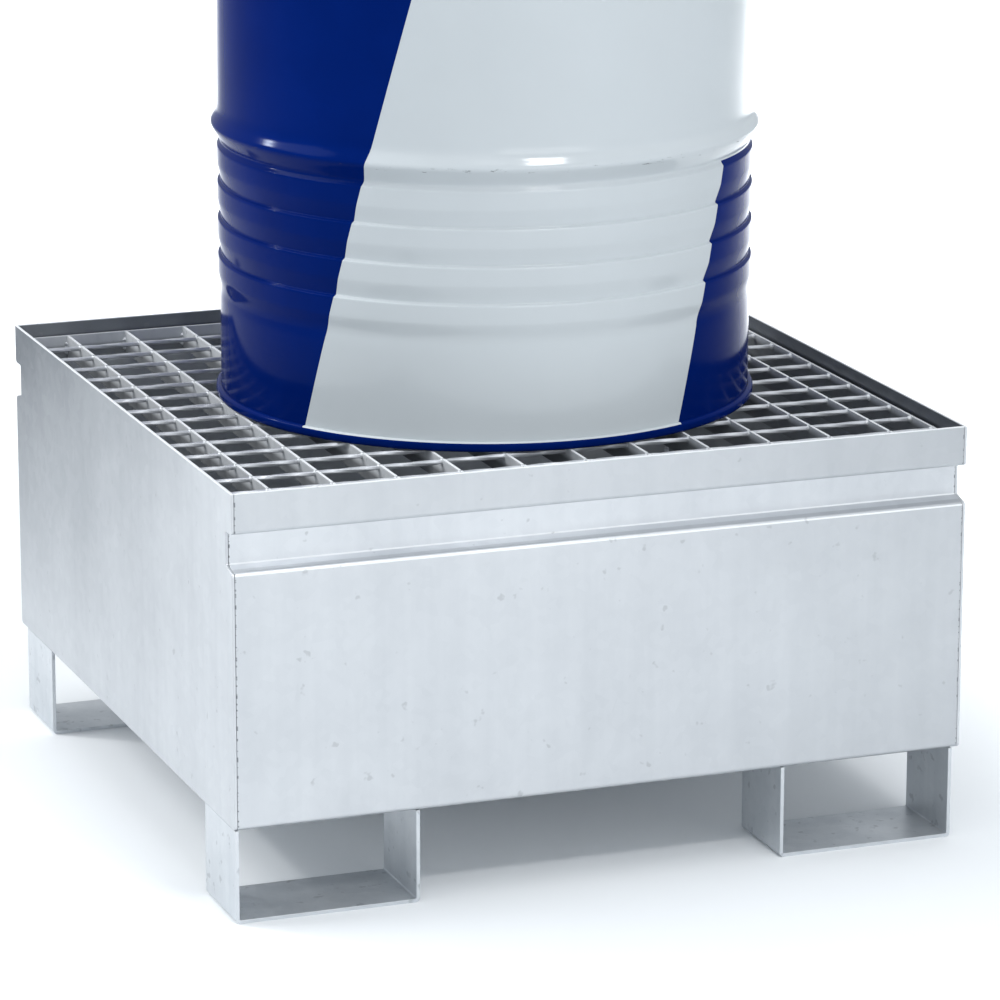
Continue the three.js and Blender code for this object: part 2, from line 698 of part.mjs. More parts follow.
// The lever: a curved handle strip, and two round-ended ears that turn on the ring's pin and carry
// the link.
function ringLever() {
  const start = LEVER_AZIMUTH + arcDegrees(HANDLE_START);
  const end = LEVER_AZIMUTH + arcDegrees(LEVER_LENGTH);
  const inner = PIN_CIRCLE + HANDLE_OFFSET;
  const handle = bandShape(inner, inner + HANDLE_THICKNESS, start, end, HANDLE_STEPS);
  const strip = alongZ(handle, RING_MIDDLE - HANDLE_HALF_HEIGHT, RING_MIDDLE + HANDLE_HALF_HEIGHT);
  const earEnd = LINK_PIN_AZIMUTH + arcDegrees(EAR_PAST_LINK_PIN);
  const earInside = PIN_CIRCLE - EAR_RADIUS;
  const earShape = bandShape(earInside, PIN_CIRCLE + EAR_RADIUS, LEVER_AZIMUTH, earEnd, EAR_STEPS);
  const shoulder = bandShape(PIN_CIRCLE, inner + HANDLE_THICKNESS / 2, start, earEnd, EAR_STEPS);
  const ears = [[-EAR_OUTER, -EAR_INNER], [EAR_INNER, EAR_OUTER]].flatMap(([below, above]) => {
    const low = RING_MIDDLE + below;
    const high = RING_MIDDLE + above;
    const round = upright(EAR_RADIUS, low, high, PIN_STEPS).translate(0, -PIN_CIRCLE, 0);
    return [alongZ(earShape, low, high), alongZ(shoulder, low, high), atAzimuth(round, LEVER_AZIMUTH)];
  });
  const holes = [LEVER_AZIMUTH, LINK_PIN_AZIMUTH].map((azimuth) => atAzimuth(pinHole(), azimuth));
  return named('ring_lever', cut(join(strip, ...ears), ...holes), zincPlate());
}

// The link: a flat bar with a round end on the lever's pin. Its hook opens towards the drum, over the
// other pin.
function ringLink() {
  const chord = 2 * PIN_CIRCLE * Math.sin(radians(arcDegrees(LINK_LENGTH)) / 2);
  const end = chord + LINK_PAST_HOOK_PIN;
  const outline = [[end, -LINK_OUTER_HALF], [end, LINK_INNER_HALF]];
  for (let step = 0; step <= LINK_END_STEPS; step += 1) {
    const angle = Math.PI / 2 + (Math.PI * step) / LINK_END_STEPS;
    const half = step * 2 < LINK_END_STEPS ? LINK_INNER_HALF : LINK_OUTER_HALF;
    outline.push([LINK_INNER_HALF * Math.cos(angle), half * Math.sin(angle)]);
  }
  const bar = alongZ(shapeFrom(outline), -LINK_HALF_HEIGHT, LINK_HALF_HEIGHT);
  const hole = upright(PIN_RADIUS + PIN_CLEARANCE, -CUT_MARGIN, CUT_MARGIN, PIN_STEPS);
  const mouthHalf = PIN_RADIUS + MOUTH_CLEARANCE;
  const mouthFloor = -PIN_RADIUS - PIN_CLEARANCE;
  const mouth = boxBetween(
    [chord - mouthHalf, mouthFloor, -CUT_MARGIN],
    [chord + mouthHalf, CUT_MARGIN, CUT_MARGIN],
  );
  const link = cut(bar, hole, mouth);
  const pivot = radians(LINK_PIN_AZIMUTH);
  const hook = radians(HOOK_PIN_AZIMUTH);
  const from = new THREE.Vector2(Math.sin(pivot), -Math.cos(pivot)).multiplyScalar(PIN_CIRCLE);
  const to = new THREE.Vector2(Math.sin(hook), -Math.cos(hook)).multiplyScalar(PIN_CIRCLE);
  link.rotateZ(to.clone().sub(from).angle());
  link.translate(from.x, from.y, RING_MIDDLE);
  return named('ring_link', link, zincPlate());
}

function closingGear() {
  const group = new THREE.Group();
  group.add(closingRing());
  group.add(ringBracket('lever_bracket', LEVER_AZIMUTH, LEVER_BRACKET_EARS));
  group.add(ringBracket('hook_bracket', HOOK_PIN_AZIMUTH, HOOK_BRACKET_EARS));
  group.add(pin('lever_pin', LEVER_AZIMUTH, LEVER_PIN_HALF));
  group.add(pin('hook_pin', HOOK_PIN_AZIMUTH, HOOK_PIN_HALF));
  group.add(pin('link_pin', LINK_PIN_AZIMUTH, LINK_PIN_HALF));
  group.add(ringLever());
  group.add(ringLink());
  return group;
}

function drum() {
  const group = new THREE.Group();
  group.add(drumShell());
  group.add(bottomHead());
  group.add(lid());
  group.add(lidGasket());
  group.add(bungAssembly('large', LARGE_BUNG, 1));
  group.add(bungAssembly('small', SMALL_BUNG, -1));
  group.add(closingGear());
  group.position.set(DRUM_X, DRUM_Y, DRUM_BASE);
  return group;
}

// ---------------------------------------------------------------- the whole part

const part = new THREE.Group();
part.add(sumpPallet());
part.add(feet());
part.add(grating());
part.add(drum());

export default part;
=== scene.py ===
"""Looks of the spill pallet and its open-head drum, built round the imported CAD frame. Metres, +Z up."""

import math
import random

import bmesh
import bpy
from mathutils import Matrix, Vector


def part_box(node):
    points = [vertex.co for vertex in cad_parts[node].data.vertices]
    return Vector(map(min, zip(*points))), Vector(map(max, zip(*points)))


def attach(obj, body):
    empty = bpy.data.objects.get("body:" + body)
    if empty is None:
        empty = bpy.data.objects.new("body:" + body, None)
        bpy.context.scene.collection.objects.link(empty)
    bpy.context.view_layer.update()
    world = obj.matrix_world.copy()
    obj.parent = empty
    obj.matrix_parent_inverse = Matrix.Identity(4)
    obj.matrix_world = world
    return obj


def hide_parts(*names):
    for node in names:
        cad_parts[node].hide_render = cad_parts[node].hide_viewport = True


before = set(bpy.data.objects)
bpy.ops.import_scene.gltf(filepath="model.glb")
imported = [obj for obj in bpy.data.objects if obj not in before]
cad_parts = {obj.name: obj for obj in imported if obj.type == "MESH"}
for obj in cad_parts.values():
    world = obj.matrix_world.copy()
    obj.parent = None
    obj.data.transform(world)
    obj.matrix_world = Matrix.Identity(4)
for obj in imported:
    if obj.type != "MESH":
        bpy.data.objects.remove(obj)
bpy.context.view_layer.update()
scene = bpy.context.scene

MM = 0.001

# ---------------- sizes the CAD doesn't hold as a box

SHEET = 3 * MM
BEND_RADIUS = 3.5 * MM
FOOT_SHEET = 4 * MM
GROOVE_DEPTH = 20 * MM
LEDGE_TOP = 414.7 * MM
SHELF_INNER = 377 * MM
SHELF_OUTER = 372 * MM

DRUM_SHEET = 1.2 * MM
BODY_RADIUS = 287.8 * MM
FOOT_RADIUS = 289.5 * MM
MIDDLE_RADIUS = 290.5 * MM
HOOP_RADIUS = 298 * MM
LOWER_HOOP = 302 * MM
UPPER_HOOP = 585 * MM
HOOP_HALF_HEIGHT = 21 * MM
BEAD_RADIUS = 291.5 * MM
BEAD_ROOT_RADIUS = 287 * MM
BEAD_PITCH = 40.3 * MM
BEAD_COUNT = 4
FIRST_BEAD_TOP = 277.5 * MM
BEAD_FLAT = 21 * MM
BEAD_STEP = 3 * MM
CHIME_RADIUS = 295 * MM
CHIME_HEIGHT = 14 * MM
CURL_RADIUS = 293 * MM
CURL_TOP = 871 * MM
CURL_TUBE = 4.6 * MM

LID_PANEL = 864 * MM
LID_WALL_RADIUS = 283.2 * MM
RING_SHEET = 1.5 * MM
EAR_RADIUS = 4.5 * MM
THREAD_PITCH = 2 * MM
WELD_CUT = 12 * MM  # how far the long welds stop short of a corner

ROUND_STEPS = 288
LID_STEPS = 192
BEND_STEPS = 6

# ---------------- places taken from the frame

pallet_low, pallet_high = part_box("sump_trough")
plate_low, plate_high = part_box("left_side_plate")
grating_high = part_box("end_bar_front")[1]
ring_low, ring_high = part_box("closing_ring")


def base_centre(node):
    """The middle of a node's box at its lowest height."""
    low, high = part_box(node)
    return Vector(((low.x + high.x) / 2, (low.y + high.y) / 2, low.z))


def half_width(node):
    low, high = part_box(node)
    return (high.x - low.x) / 2


def nodes_called(*starts):
    return sorted(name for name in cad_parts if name.startswith(starts))


DRUM_CENTRE = base_centre("bottom_head")
RING_TOP = ring_high.z - DRUM_CENTRE.z
RING_BOTTOM = ring_low.z - DRUM_CENTRE.z
RING_RADIUS = half_width("closing_ring")
RING_MIDDLE = (RING_TOP + RING_BOTTOM) / 2


# ---------------- node material helpers

def new_material(name, roughness, metallic):
    material = bpy.data.materials.new(name)
    material.use_nodes = True
    tree = material.node_tree
    shader = tree.nodes["Principled BSDF"]
    shader.inputs["Roughness"].default_value = roughness
    shader.inputs["Metallic"].default_value = metallic
    return material, tree, shader


def feed(shader, socket, value):
    shader.id_data.links.new(value, shader.inputs[socket])


def object_coordinates(tree):
    return tree.nodes.new("ShaderNodeTexCoord").outputs["Object"]


def stretched(tree, vector, scale):
    node = tree.nodes.new("ShaderNodeMapping")
    node.inputs["Scale"].default_value = scale
    tree.links.new(vector, node.inputs["Vector"])
    return node.outputs["Vector"]


def noise(tree, vector, scale, detail=4.0, roughness=0.55, distortion=0.0):
    node = tree.nodes.new("ShaderNodeTexNoise")
    node.inputs["Scale"].default_value = scale
    node.inputs["Detail"].default_value = detail
    node.inputs["Roughness"].default_value = roughness
    node.inputs["Distortion"].default_value = distortion
    tree.links.new(vector, node.inputs["Vector"])
    return node.outputs["Fac"]


def cell_shades(tree, vector, scale):
    """Two values from 0 to 1 that differ from cell to cell."""
    node = tree.nodes.new("ShaderNodeTexVoronoi")
    node.inputs["Scale"].default_value = scale
    tree.links.new(vector, node.inputs["Vector"])
    shades = tree.nodes.new("ShaderNodeSeparateColor")
    tree.links.new(node.outputs["Color"], shades.inputs["Color"])
    return shades.outputs["Red"], shades.outputs["Green"]


def separated(tree, vector):
    node = tree.nodes.new("ShaderNodeSeparateXYZ")
    tree.links.new(vector, node.inputs["Vector"])
    return tuple(node.outputs)


def remap(tree, value, low, high, new_low=0.0, new_high=1.0):
    node = tree.nodes.new("ShaderNodeMapRange")
    node.inputs["From Min"].default_value = low
    node.inputs["From Max"].default_value = high
    node.inputs["To Min"].default_value = new_low
    node.inputs["To Max"].default_value = new_high
    tree.links.new(value, node.inputs["Value"])
    return node.outputs["Result"]


def math_node(tree, operation, first, second=None):
    node = tree.nodes.new("ShaderNodeMath")
    node.operation = operation
    for socket, value in zip(node.inputs, (first, second)):
        if value is None:
            continue
        if isinstance(value, (int, float)):
            socket.default_value = value
        else:
            tree.links.new(value, socket)
    return node.outputs["Value"]


def multiply(tree, first, second):
    return math_node(tree, "MULTIPLY", first, second)


def above(tree, value, level):
    """1 where the value is over the level, 0 elsewhere."""
    return math_node(tree, "GREATER_THAN", value, level)


def between(tree, value, low, high):
    """1 where the value lies between low and high, 0 elsewhere."""
    return multiply(tree, above(tree, value, low), math_node(tree, "LESS_THAN", value, high))


def mix_colours(tree, factor, first, second):
    node = tree.nodes.new("ShaderNodeMix")
    node.data_type = "RGBA"
    for socket, value in ((node.inputs["Factor"], factor), (node.inputs[6], first), (node.inputs[7], second)):
        if isinstance(value, (int, float)):
            socket.default_value = value
        elif isinstance(value, tuple):
            socket.default_value = (*value, 1.0)
        else:
            tree.links.new(value, socket)
    return node.outputs[2]


def scaled(colour, factor):
    return tuple(factor * channel for channel in colour)


def bump(tree, height, strength, distance, under=None):
    node = tree.nodes.new("ShaderNodeBump")
    node.inputs["Strength"].default_value = strength
    node.inputs["Distance"].default_value = distance
    tree.links.new(height, node.inputs["Height"])
    if under is not None:
        tree.links.new(under, node.inputs["Normal"])
    return node.outputs["Normal"]


# ---------------- materials

# Bands of height along a bare edge or a tight bend, painted pale and matt: painted highlight lines where the
# edge or bend catches the light.
EDGE_HIGHLIGHT = (0.80, 0.82, 0.84)
EDGE_METALLIC = 0.1
RIM_EDGE = (pallet_high.z - 0.8 * MM, pallet_high.z + 1 * MM)
BAR_EDGE = (grating_high.z - 0.8 * MM, grating_high.z + 1 * MM)
SHELF_BEND = (SHELF_OUTER - 3.2 * MM, SHELF_OUTER - 1.6 * MM)
GROOVE_BEND = (SHELF_INNER - 0.6 * MM, SHELF_INNER + 0.8 * MM)
RUN_STRENGTH = 0.30
SPECK_DARKNESS = 0.55


def galvanised(name, pale, dark, metallic=0.75, roughness=(0.34, 0.50), spangle=95.0, clouding=0.4,
               shade_and_marks=None, shade_and_marks_colour=None, edges=(), speck_level=0.70):
    """Hot-dip zinc: soft clouds, faint vertical run marks, a fine spangle and scattered darker specks.
    The darkening function (tree, x, y, z) says how far each point goes to its dark colour, as painted shade
    and, on the trough, weld dots. The bands are (low, high) heights of painted highlight lines."""
    material, tree, shader = new_material(name, roughness[0], metallic)
    where = object_coordinates(tree)
    place = separated(tree, where)
    clouds = noise(tree, where, 5.5, detail=5.0, distortion=0.4)
    runs = noise(tree, stretched(tree, where, (1.0, 1.0, 0.06)), 42.0, detail=3.0)
    grain, gloss_grain = cell_shades(tree, where, spangle)
    shade = math_node(tree, "ADD", remap(tree, clouds, 0.3, 0.7, 0.0, clouding),
                      remap(tree, runs, 0.3, 0.7, 0.0, RUN_STRENGTH))
    shade = math_node(tree, "ADD", shade, remap(tree, grain, 0.0, 1.0, -0.06, 0.10))
    colour = mix_colours(tree, shade, pale, dark)
    # Painted shade, and on the trough weld dots: mixed towards the given dark colour.
    if shade_and_marks:
        colour = mix_colours(tree, shade_and_marks(tree, *place), colour, shade_and_marks_colour)
    # Painted highlight: pale, less metallic lines along these bands of height.
    if edges:
        on_edge = 0.0
        for low, high in edges:
            on_edge = math_node(tree, "MAXIMUM", between(tree, place[2], low, high), on_edge)
        colour = mix_colours(tree, on_edge, colour, EDGE_HIGHLIGHT)
        feed(shader, "Metallic", remap(tree, on_edge, 0.0, 1.0, metallic, EDGE_METALLIC))
    specks = remap(tree, noise(tree, where, 70.0, detail=2.0), speck_level, speck_level + 0.06, 0.0, 0.4)
    colour = mix_colours(tree, specks, colour, scaled(dark, SPECK_DARKNESS))
    feed(shader, "Base Color", colour)
    rough = math_node(tree, "ADD", remap(tree, clouds, 0.3, 0.7, *roughness),
                      remap(tree, gloss_grain, 0.0, 1.0, -0.03, 0.03))
    feed(shader, "Roughness", rough)
    waves = bump(tree, noise(tree, where, 3.2, detail=1.0), 0.35, 2.0 * MM)
    fine = bump(tree, noise(tree, where, 380.0, detail=2.0), 0.10, 0.3 * MM, waves)
    feed(shader, "Normal", fine)
    return material


# The pale panel round the drum runs between two slanted edges: degrees from the front at the drum's base.
PANEL_LEFT = -62.1
PANEL_RIGHT = 24.2
PANEL_BOTTOM = 9.5 * MM
PANEL_SLANT = 56.0  # degrees per metre of height
PANEL_RIGHT_ABOVE = 95.0  # where the panel ends above the lower hoop
PAINT_BLUE = (0.0003, 0.0095, 0.103)
PAINT_PALE = (0.505, 0.545, 0.57)
# Painted light: the pale panel is lighter at the bottom, fading to its own colour by the height on the next
# line.
PALE_PANEL_LIT_LOW = (0.55, 0.595, 0.62)
PANEL_LIT_HEIGHT = 0.22
BLUE_SHINE = 0.028
PALE_SHINE = 0.34
BLUE_REFLECTION = (0.45, 0.68, 1.0)
SCUFF_COLOUR = (0.05, 0.05, 0.055)
SCUFF_HALF_WIDTH = 3.2 * MM
SCUFF_HEIGHT = LOWER_HOOP - 3 * MM


def panel_mask(tree, where):
    """1 inside the slanted pale panel of the drum's body, 0 outside it and on the chime; and the height."""
    x, y, z = separated(tree, where)
    across = math_node(tree, "SUBTRACT", x, DRUM_CENTRE.x)
    forward = math_node(tree, "SUBTRACT", DRUM_CENTRE.y, y)
    height = math_node(tree, "SUBTRACT", z, DRUM_CENTRE.z)
    azimuth = math_node(tree, "DEGREES", math_node(tree, "ARCTAN2", across, forward))
    level = math_node(tree, "SUBTRACT", azimuth, multiply(tree, height, PANEL_SLANT))
    above_hoop = above(tree, height, LOWER_HOOP - HOOP_HALF_HEIGHT)
    right_edge = remap(tree, above_hoop, 0.0, 1.0, PANEL_RIGHT, PANEL_RIGHT_ABOVE)
    inside = between(tree, level, PANEL_LEFT, right_edge)
    return multiply(tree, inside, above(tree, height, PANEL_BOTTOM)), height


def drum_paint(name, with_panel):
    """Gloss enamel with shallow dents and orange peel; the panel is painted lighter low down as painted
    light, and scuffed on the hoop.
    """
    material, tree, shader = new_material(name, 0.2, 0.0)
    where = object_coordinates(tree)
    tone = remap(tree, noise(tree, where, 7.0, detail=4.0), 0.3, 0.7)
    colour = mix_colours(tree, tone, PAINT_BLUE, scaled(PAINT_BLUE, 1.25))
    if with_panel:
        mask, height = panel_mask(tree, where)
        pale = mix_colours(tree, tone, PAINT_PALE, scaled(PAINT_PALE, 0.96))
        # Painted light: lighter low on the pale panel.
        pale = mix_colours(tree, remap(tree, height, 0.0, PANEL_LIT_HEIGHT, 1.0, 0.0), pale, PALE_PANEL_LIT_LOW)
        colour = mix_colours(tree, mask, colour, pale)
        on_hoop = between(tree, height, SCUFF_HEIGHT - SCUFF_HALF_WIDTH, SCUFF_HEIGHT + SCUFF_HALF_WIDTH)
        scuff = noise(tree, stretched(tree, where, (1.0, 1.0, 6.0)), 60.0, detail=5.0, roughness=0.7)
        scuff = multiply(tree, on_hoop, remap(tree, scuff, 0.62, 0.68, 0.0, 0.8))
        colour = mix_colours(tree, scuff, colour, SCUFF_COLOUR)
        shine = remap(tree, mask, 0.0, 1.0, BLUE_SHINE, PALE_SHINE)
        feed(shader, "Specular IOR Level", shine)
        reflection = mix_colours(tree, mask, BLUE_REFLECTION, (1.0, 1.0, 1.0))
        feed(shader, "Specular Tint", reflection)
    else:
        shader.inputs["Specular IOR Level"].default_value = BLUE_SHINE
        shader.inputs["Specular Tint"].default_value = (*BLUE_REFLECTION, 1.0)
    feed(shader, "Base Color", colour)
    smear = noise(tree, where, 14.0, detail=5.0, roughness=0.6)
    feed(shader, "Roughness", remap(tree, smear, 0.3, 0.75, 0.09, 0.17))
    dents = bump(tree, noise(tree, stretched(tree, where, (1.0, 1.0, 0.5)), 9.0, detail=1.0), 0.22, 1.2 * MM)
    peel = bump(tree, noise(tree, where, 420.0, detail=1.0), 0.05, 0.2 * MM, dents)
    feed(shader, "Normal", peel)
    return material


def lacquer(name):
    """The drum's inside: thin tan lacquer over the steel, uneven where it ran."""
    material, tree, shader = new_material(name, 0.35, 0.35)
    where = object_coordinates(tree)
    runs = noise(tree, stretched(tree, where, (1.0, 1.0, 0.12)), 26.0, detail=4.0)
    colour = mix_colours(tree, remap(tree, runs, 0.3, 0.7), (0.30, 0.21, 0.12), (0.40, 0.30, 0.19))
    feed(shader, "Base Color", colour)
    feed(shader, "Roughness", remap(tree, runs, 0.3, 0.7, 0.28, 0.42))
    feed(shader, "Normal", bump(tree, noise(tree, where, 160.0), 0.08, 0.3 * MM))
    return material


def zinc_plate(name):
    """Electroplated small parts: bright, with drawn lines and slightly dulled patches."""
    material, tree, shader = new_material(name, 0.3, 0.95)
    where = object_coordinates(tree)
    drawn = noise(tree, stretched(tree, where, (1.0, 1.0, 14.0)), 55.0, detail=3.0)
    dulling_and_shade = noise(tree, where, 24.0, detail=4.0)
    colour = mix_colours(tree, remap(tree, dulling_and_shade, 0.35, 0.7), (0.70, 0.71, 0.72), (0.52, 0.53, 0.53))
    feed(shader, "Base Color", colour)
    feed(shader, "Roughness", remap(tree, dulling_and_shade, 0.3, 0.7, 0.22, 0.42))
    feed(shader, "Normal", bump(tree, drawn, 0.08, 0.2 * MM))
    return material


def rubber(name):
    """Moulded black gasket rubber, bloomed grey in patches."""
    material, tree, shader = new_material(name, 0.7, 0.0)
    where = object_coordinates(tree)
    bloom = noise(tree, where, 40.0, detail=5.0)
    colour = mix_colours(tree, remap(tree, bloom, 0.4, 0.75), (0.014, 0.014, 0.015), (0.05, 0.05, 0.052))
    feed(shader, "Base Color", colour)
    feed(shader, "Roughness", remap(tree, bloom, 0.3, 0.7, 0.6, 0.85))
    feed(shader, "Normal", bump(tree, noise(tree, where, 700.0), 0.15, 0.2 * MM))
    return material


def inside_rim(tree, x, y, z):
    """1 on the inner faces of the rim above the ledge, where painted shade goes."""
    reach = math_node(tree, "MAXIMUM", math_node(tree, "ABSOLUTE", x), math_node(tree, "ABSOLUTE", y))
    inner = math_node(tree, "LESS_THAN", reach, pallet_high.y - 2 * MM)
    return multiply(tree, inner, above(tree, z, LEDGE_TOP + 1 * MM))


def seam_marks(tree, x, z):
    """Dark dots where the corner seam was welded from inside and burnt through."""
    near_seam = above(tree, math_node(tree, "ABSOLUTE", x), -plate_high.x - 1.6 * MM)
    along = tree.nodes.new("ShaderNodeCombineXYZ")
    tree.links.new(z, along.inputs["Z"])
    dots = remap(tree, noise(tree, along.outputs["Vector"], 150.0, detail=2.0), 0.5, 0.58)
    return multiply(tree, near_seam, dots)


def plate_painted_shade(tree, x, y, z):
    """Painted shade: darker towards the top and the back, and on the rim's inner faces."""
    high_up = remap(tree, z, 0.12, pallet_high.z, 0.22, 1.0)
    far_back = remap(tree, y, plate_low.y, plate_high.y, 0.08, 1.08)
    rim = multiply(tree, inside_rim(tree, x, y, z), 0.86)
    return math_node(tree, "MAXIMUM", multiply(tree, high_up, far_back), rim)


def trough_shade_and_weld_dots(tree, x, y, z):
    """Painted shade darker to the right and on the rim's inner faces; darker on the rim, lighter in the
    groove, and dark weld dots on the seam.
    """
    to_right = remap(tree, x, 0.1, pallet_high.x, 0.2, 0.38)
    rim = multiply(tree, above(tree, z, LEDGE_TOP), 0.10)
    in_groove = between(tree, z, SHELF_INNER - SHEET, LEDGE_TOP - SHEET)
    dulling_and_shade = math_node(tree, "SUBTRACT", math_node(tree, "ADD", to_right, rim), multiply(tree, in_groove, 0.25))
    dulling_and_shade = math_node(tree, "MAXIMUM", dulling_and_shade, inside_rim(tree, x, y, z))
    return math_node(tree, "MAXIMUM", dulling_and_shade, seam_marks(tree, x, z))


def bar_painted_shade(tree, x, _y, z):
    """Painted shade on the bars: darker below their tops, and nearly all the way up on the right, where the
    drum's shadow falls.
    """
    lit_depth = remap(tree, x, -0.12, 0.12, 10 * MM, 2.5 * MM)
    depth = math_node(tree, "SUBTRACT", grating_high.z, z)
    return remap(tree, math_node(tree, "SUBTRACT", depth, lit_depth), 0.0, 6 * MM, 0.0, 0.9)


# Trough: painted shade and weld dots darken it towards the dark colour; pale painted highlight lines run
# along the rim edge and the shelf and groove bends.
SHEET_ZINC = galvanised("galvanised_sheet", (0.70, 0.722, 0.748), (0.575, 0.60, 0.63), shade_and_marks=trough_shade_and_weld_dots,
                        shade_and_marks_colour=(0.25, 0.268, 0.285), edges=(RIM_EDGE, SHELF_BEND, GROOVE_BEND))
# Side plates: painted shade darkens them towards the top-back and on the rim's inner faces; a pale painted
# highlight line runs along the rim edge.
PLATE_ZINC = galvanised("galvanised_plate", (0.645, 0.667, 0.69), (0.525, 0.545, 0.575), clouding=0.2,
                        shade_and_marks=plate_painted_shade, shade_and_marks_colour=(0.13, 0.145, 0.165), edges=(RIM_EDGE,))
FOOT_ZINC = galvanised("galvanised_foot", (0.69, 0.715, 0.74), (0.49, 0.525, 0.56), spangle=70.0,
                       speck_level=0.64)
# Bars and collars: painted shade darkens them below the top and on the right; a pale painted highlight line
# runs along the bar tops.
BAR_ZINC = galvanised("galvanised_bar", (0.76, 0.78, 0.80), (0.54, 0.57, 0.60), metallic=0.3,
                      roughness=(0.40, 0.58), spangle=160.0, shade_and_marks=bar_painted_shade,
                      shade_and_marks_colour=(0.16, 0.17, 0.18), edges=(BAR_EDGE,))
ROD_ZINC = galvanised("galvanised_rod", (0.60, 0.62, 0.65), (0.40, 0.42, 0.45), metallic=0.5,
                      roughness=(0.34, 0.5), spangle=160.0)
WELD_ZINC = galvanised("galvanised_weld", (0.72, 0.74, 0.77), (0.48, 0.50, 0.53), roughness=(0.3, 0.55),
                       spangle=260.0)
BODY_PAINT = drum_paint("drum_enamel", True)
LID_PAINT = drum_paint("lid_enamel", False)
INNER_LACQUER = lacquer("drum_lacquer")
PLATED = zinc_plate("zinc_plating")
GASKET = rubber("gasket_rubber")


# ---------------- mesh helpers

def add_piece(name, shape, materials, body, nodes=(), bevel=0.0, face_materials=None,
              smooth_angle=38.0):
    """A closed mesh that rides on a body and, where nodes are named, stands for them."""
    verts, faces = shape[:2]
    mesh = bpy.data.meshes.new(name)
    mesh.from_pydata([tuple(v) for v in verts], [], faces)
    if not isinstance(materials, (list, tuple)):
        materials = [materials]
    for material in materials:
        mesh.materials.append(material)
    if face_materials:
        mesh.polygons.foreach_set("material_index", face_materials)
    work = bmesh.new()
    work.from_mesh(mesh)
    bmesh.ops.remove_doubles(work, verts=work.verts, dist=1e-6)
    bmesh.ops.recalc_face_normals(work, faces=work.faces)
    work.to_mesh(mesh)
    work.free()
    mesh.shade_smooth()
    mesh.set_sharp_from_angle(angle=math.radians(smooth_angle))
    piece = bpy.data.objects.new(name, mesh)
    scene.collection.objects.link(piece)
    if bevel:
        soften(piece, bevel)
    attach(piece, body)
    if nodes:
        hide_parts(*nodes)
    return piece


def soften(piece, width):
    """Rounds the hard edges and keeps the flats flat."""
    rounding = piece.modifiers.new("rounded edges", "BEVEL")
    rounding.width = width
    rounding.segments = 2
    rounding.limit_method = "ANGLE"
    rounding.angle_limit = math.radians(35)
    rounding.use_clamp_overlap = True
    flats = piece.modifiers.new("flat faces", "WEIGHTED_NORMAL")
    flats.keep_sharp = False


def sheet_sides(corners, thickness, radius):
    """The two sides of a folded sheet whose middle line runs through the corners."""
    points = [Vector(corner) for corner in corners]
    left, right = [], []

    def add_pair(point, normal):
        left.append(tuple(point + normal * (thickness / 2)))
        right.append(tuple(point - normal * (thickness / 2)))

    def left_of(direction):
        return Vector((-direction.y, direction.x))

    directions = [(b - a).normalized() for a, b in zip(points, points[1:])]
    add_pair(points[0], left_of(directions[0]))
    for point, before, after in zip(points[1:-1], directions, directions[1:]):
        turn = math.atan2(before.x * after.y - before.y * after.x, before.dot(after))
        side = math.copysign(1.0, turn)
        start = point - before * (radius * math.tan(abs(turn) / 2))
        centre = start + left_of(before) * (side * radius)
        for step in range(BEND_STEPS + 1):
            spoke = left_of(before)
            spoke.rotate(Matrix.Rotation(turn * step / BEND_STEPS, 2))
            add_pair(centre - spoke * (side * radius), spoke)
    add_pair(points[-1], left_of(directions[-1]))
    return left, right


def folded_sheet(corners, thickness, radius, place, start, end, steps=1):
    """Verts and faces of a folded sheet run from start to end; place(a, b, run) gives a point."""
    left, right = sheet_sides(corners, thickness, radius)
    count = len(left)
    verts, faces = [], []
    for station in range(steps + 1):
        run = start + (end - start) * station / steps
        verts += [place(a, b, run) for a, b in left]
        verts += [place(a, b, run) for a, b in right]
    for station in range(steps):
        low, high = station * 2 * count, (station + 1) * 2 * count
        for i in range(count - 1):
            faces.append((low + i, low + i + 1, high + i + 1, high + i))
            faces.append((low + count + i, high + count + i, high + count + i + 1, low + count + i + 1))
        for i in (0, count - 1):
            faces.append((low + i, high + i, high + count + i, low + count + i))
    for base in (0, steps * 2 * count):
        for i in range(count - 1):
            faces.append((base + i, base + i + 1, base + count + i + 1, base + count + i))
    return verts, faces


def prism(outline, place, start, end):
    """Verts and faces of an outline run from start to end; place(a, b, run) gives a point."""
    count = len(outline)
    verts = [place(a, b, start) for a, b in outline] + [place(a, b, end) for a, b in outline]
    faces = [tuple(range(count)), tuple(range(2 * count - 1, count - 1, -1))]
    faces += [(i, (i + 1) % count, count + (i + 1) % count, count + i) for i in range(count)]
    return verts, faces


def run_along_x(a, b, run):
    return (run, a, b)


def run_along_y(a, b, run):
    return (a, run, b)


def run_along_z(a, b, run):
    return (a, b, run)


def tube_faces(rings, around):
    """Faces of a tube whose verts are rings of points, one ring after another, with both ends closed."""
    faces = []
    for base in range(0, (rings - 1) * around, around):
        for i in range(around):
            after = (i + 1) % around
            faces.append((base + i, base + after, base + around + after, base + around + i))
    faces.append(tuple(range(around)))
    faces.append(tuple(range(rings * around - 1, (rings - 1) * around - 1, -1)))
    return faces


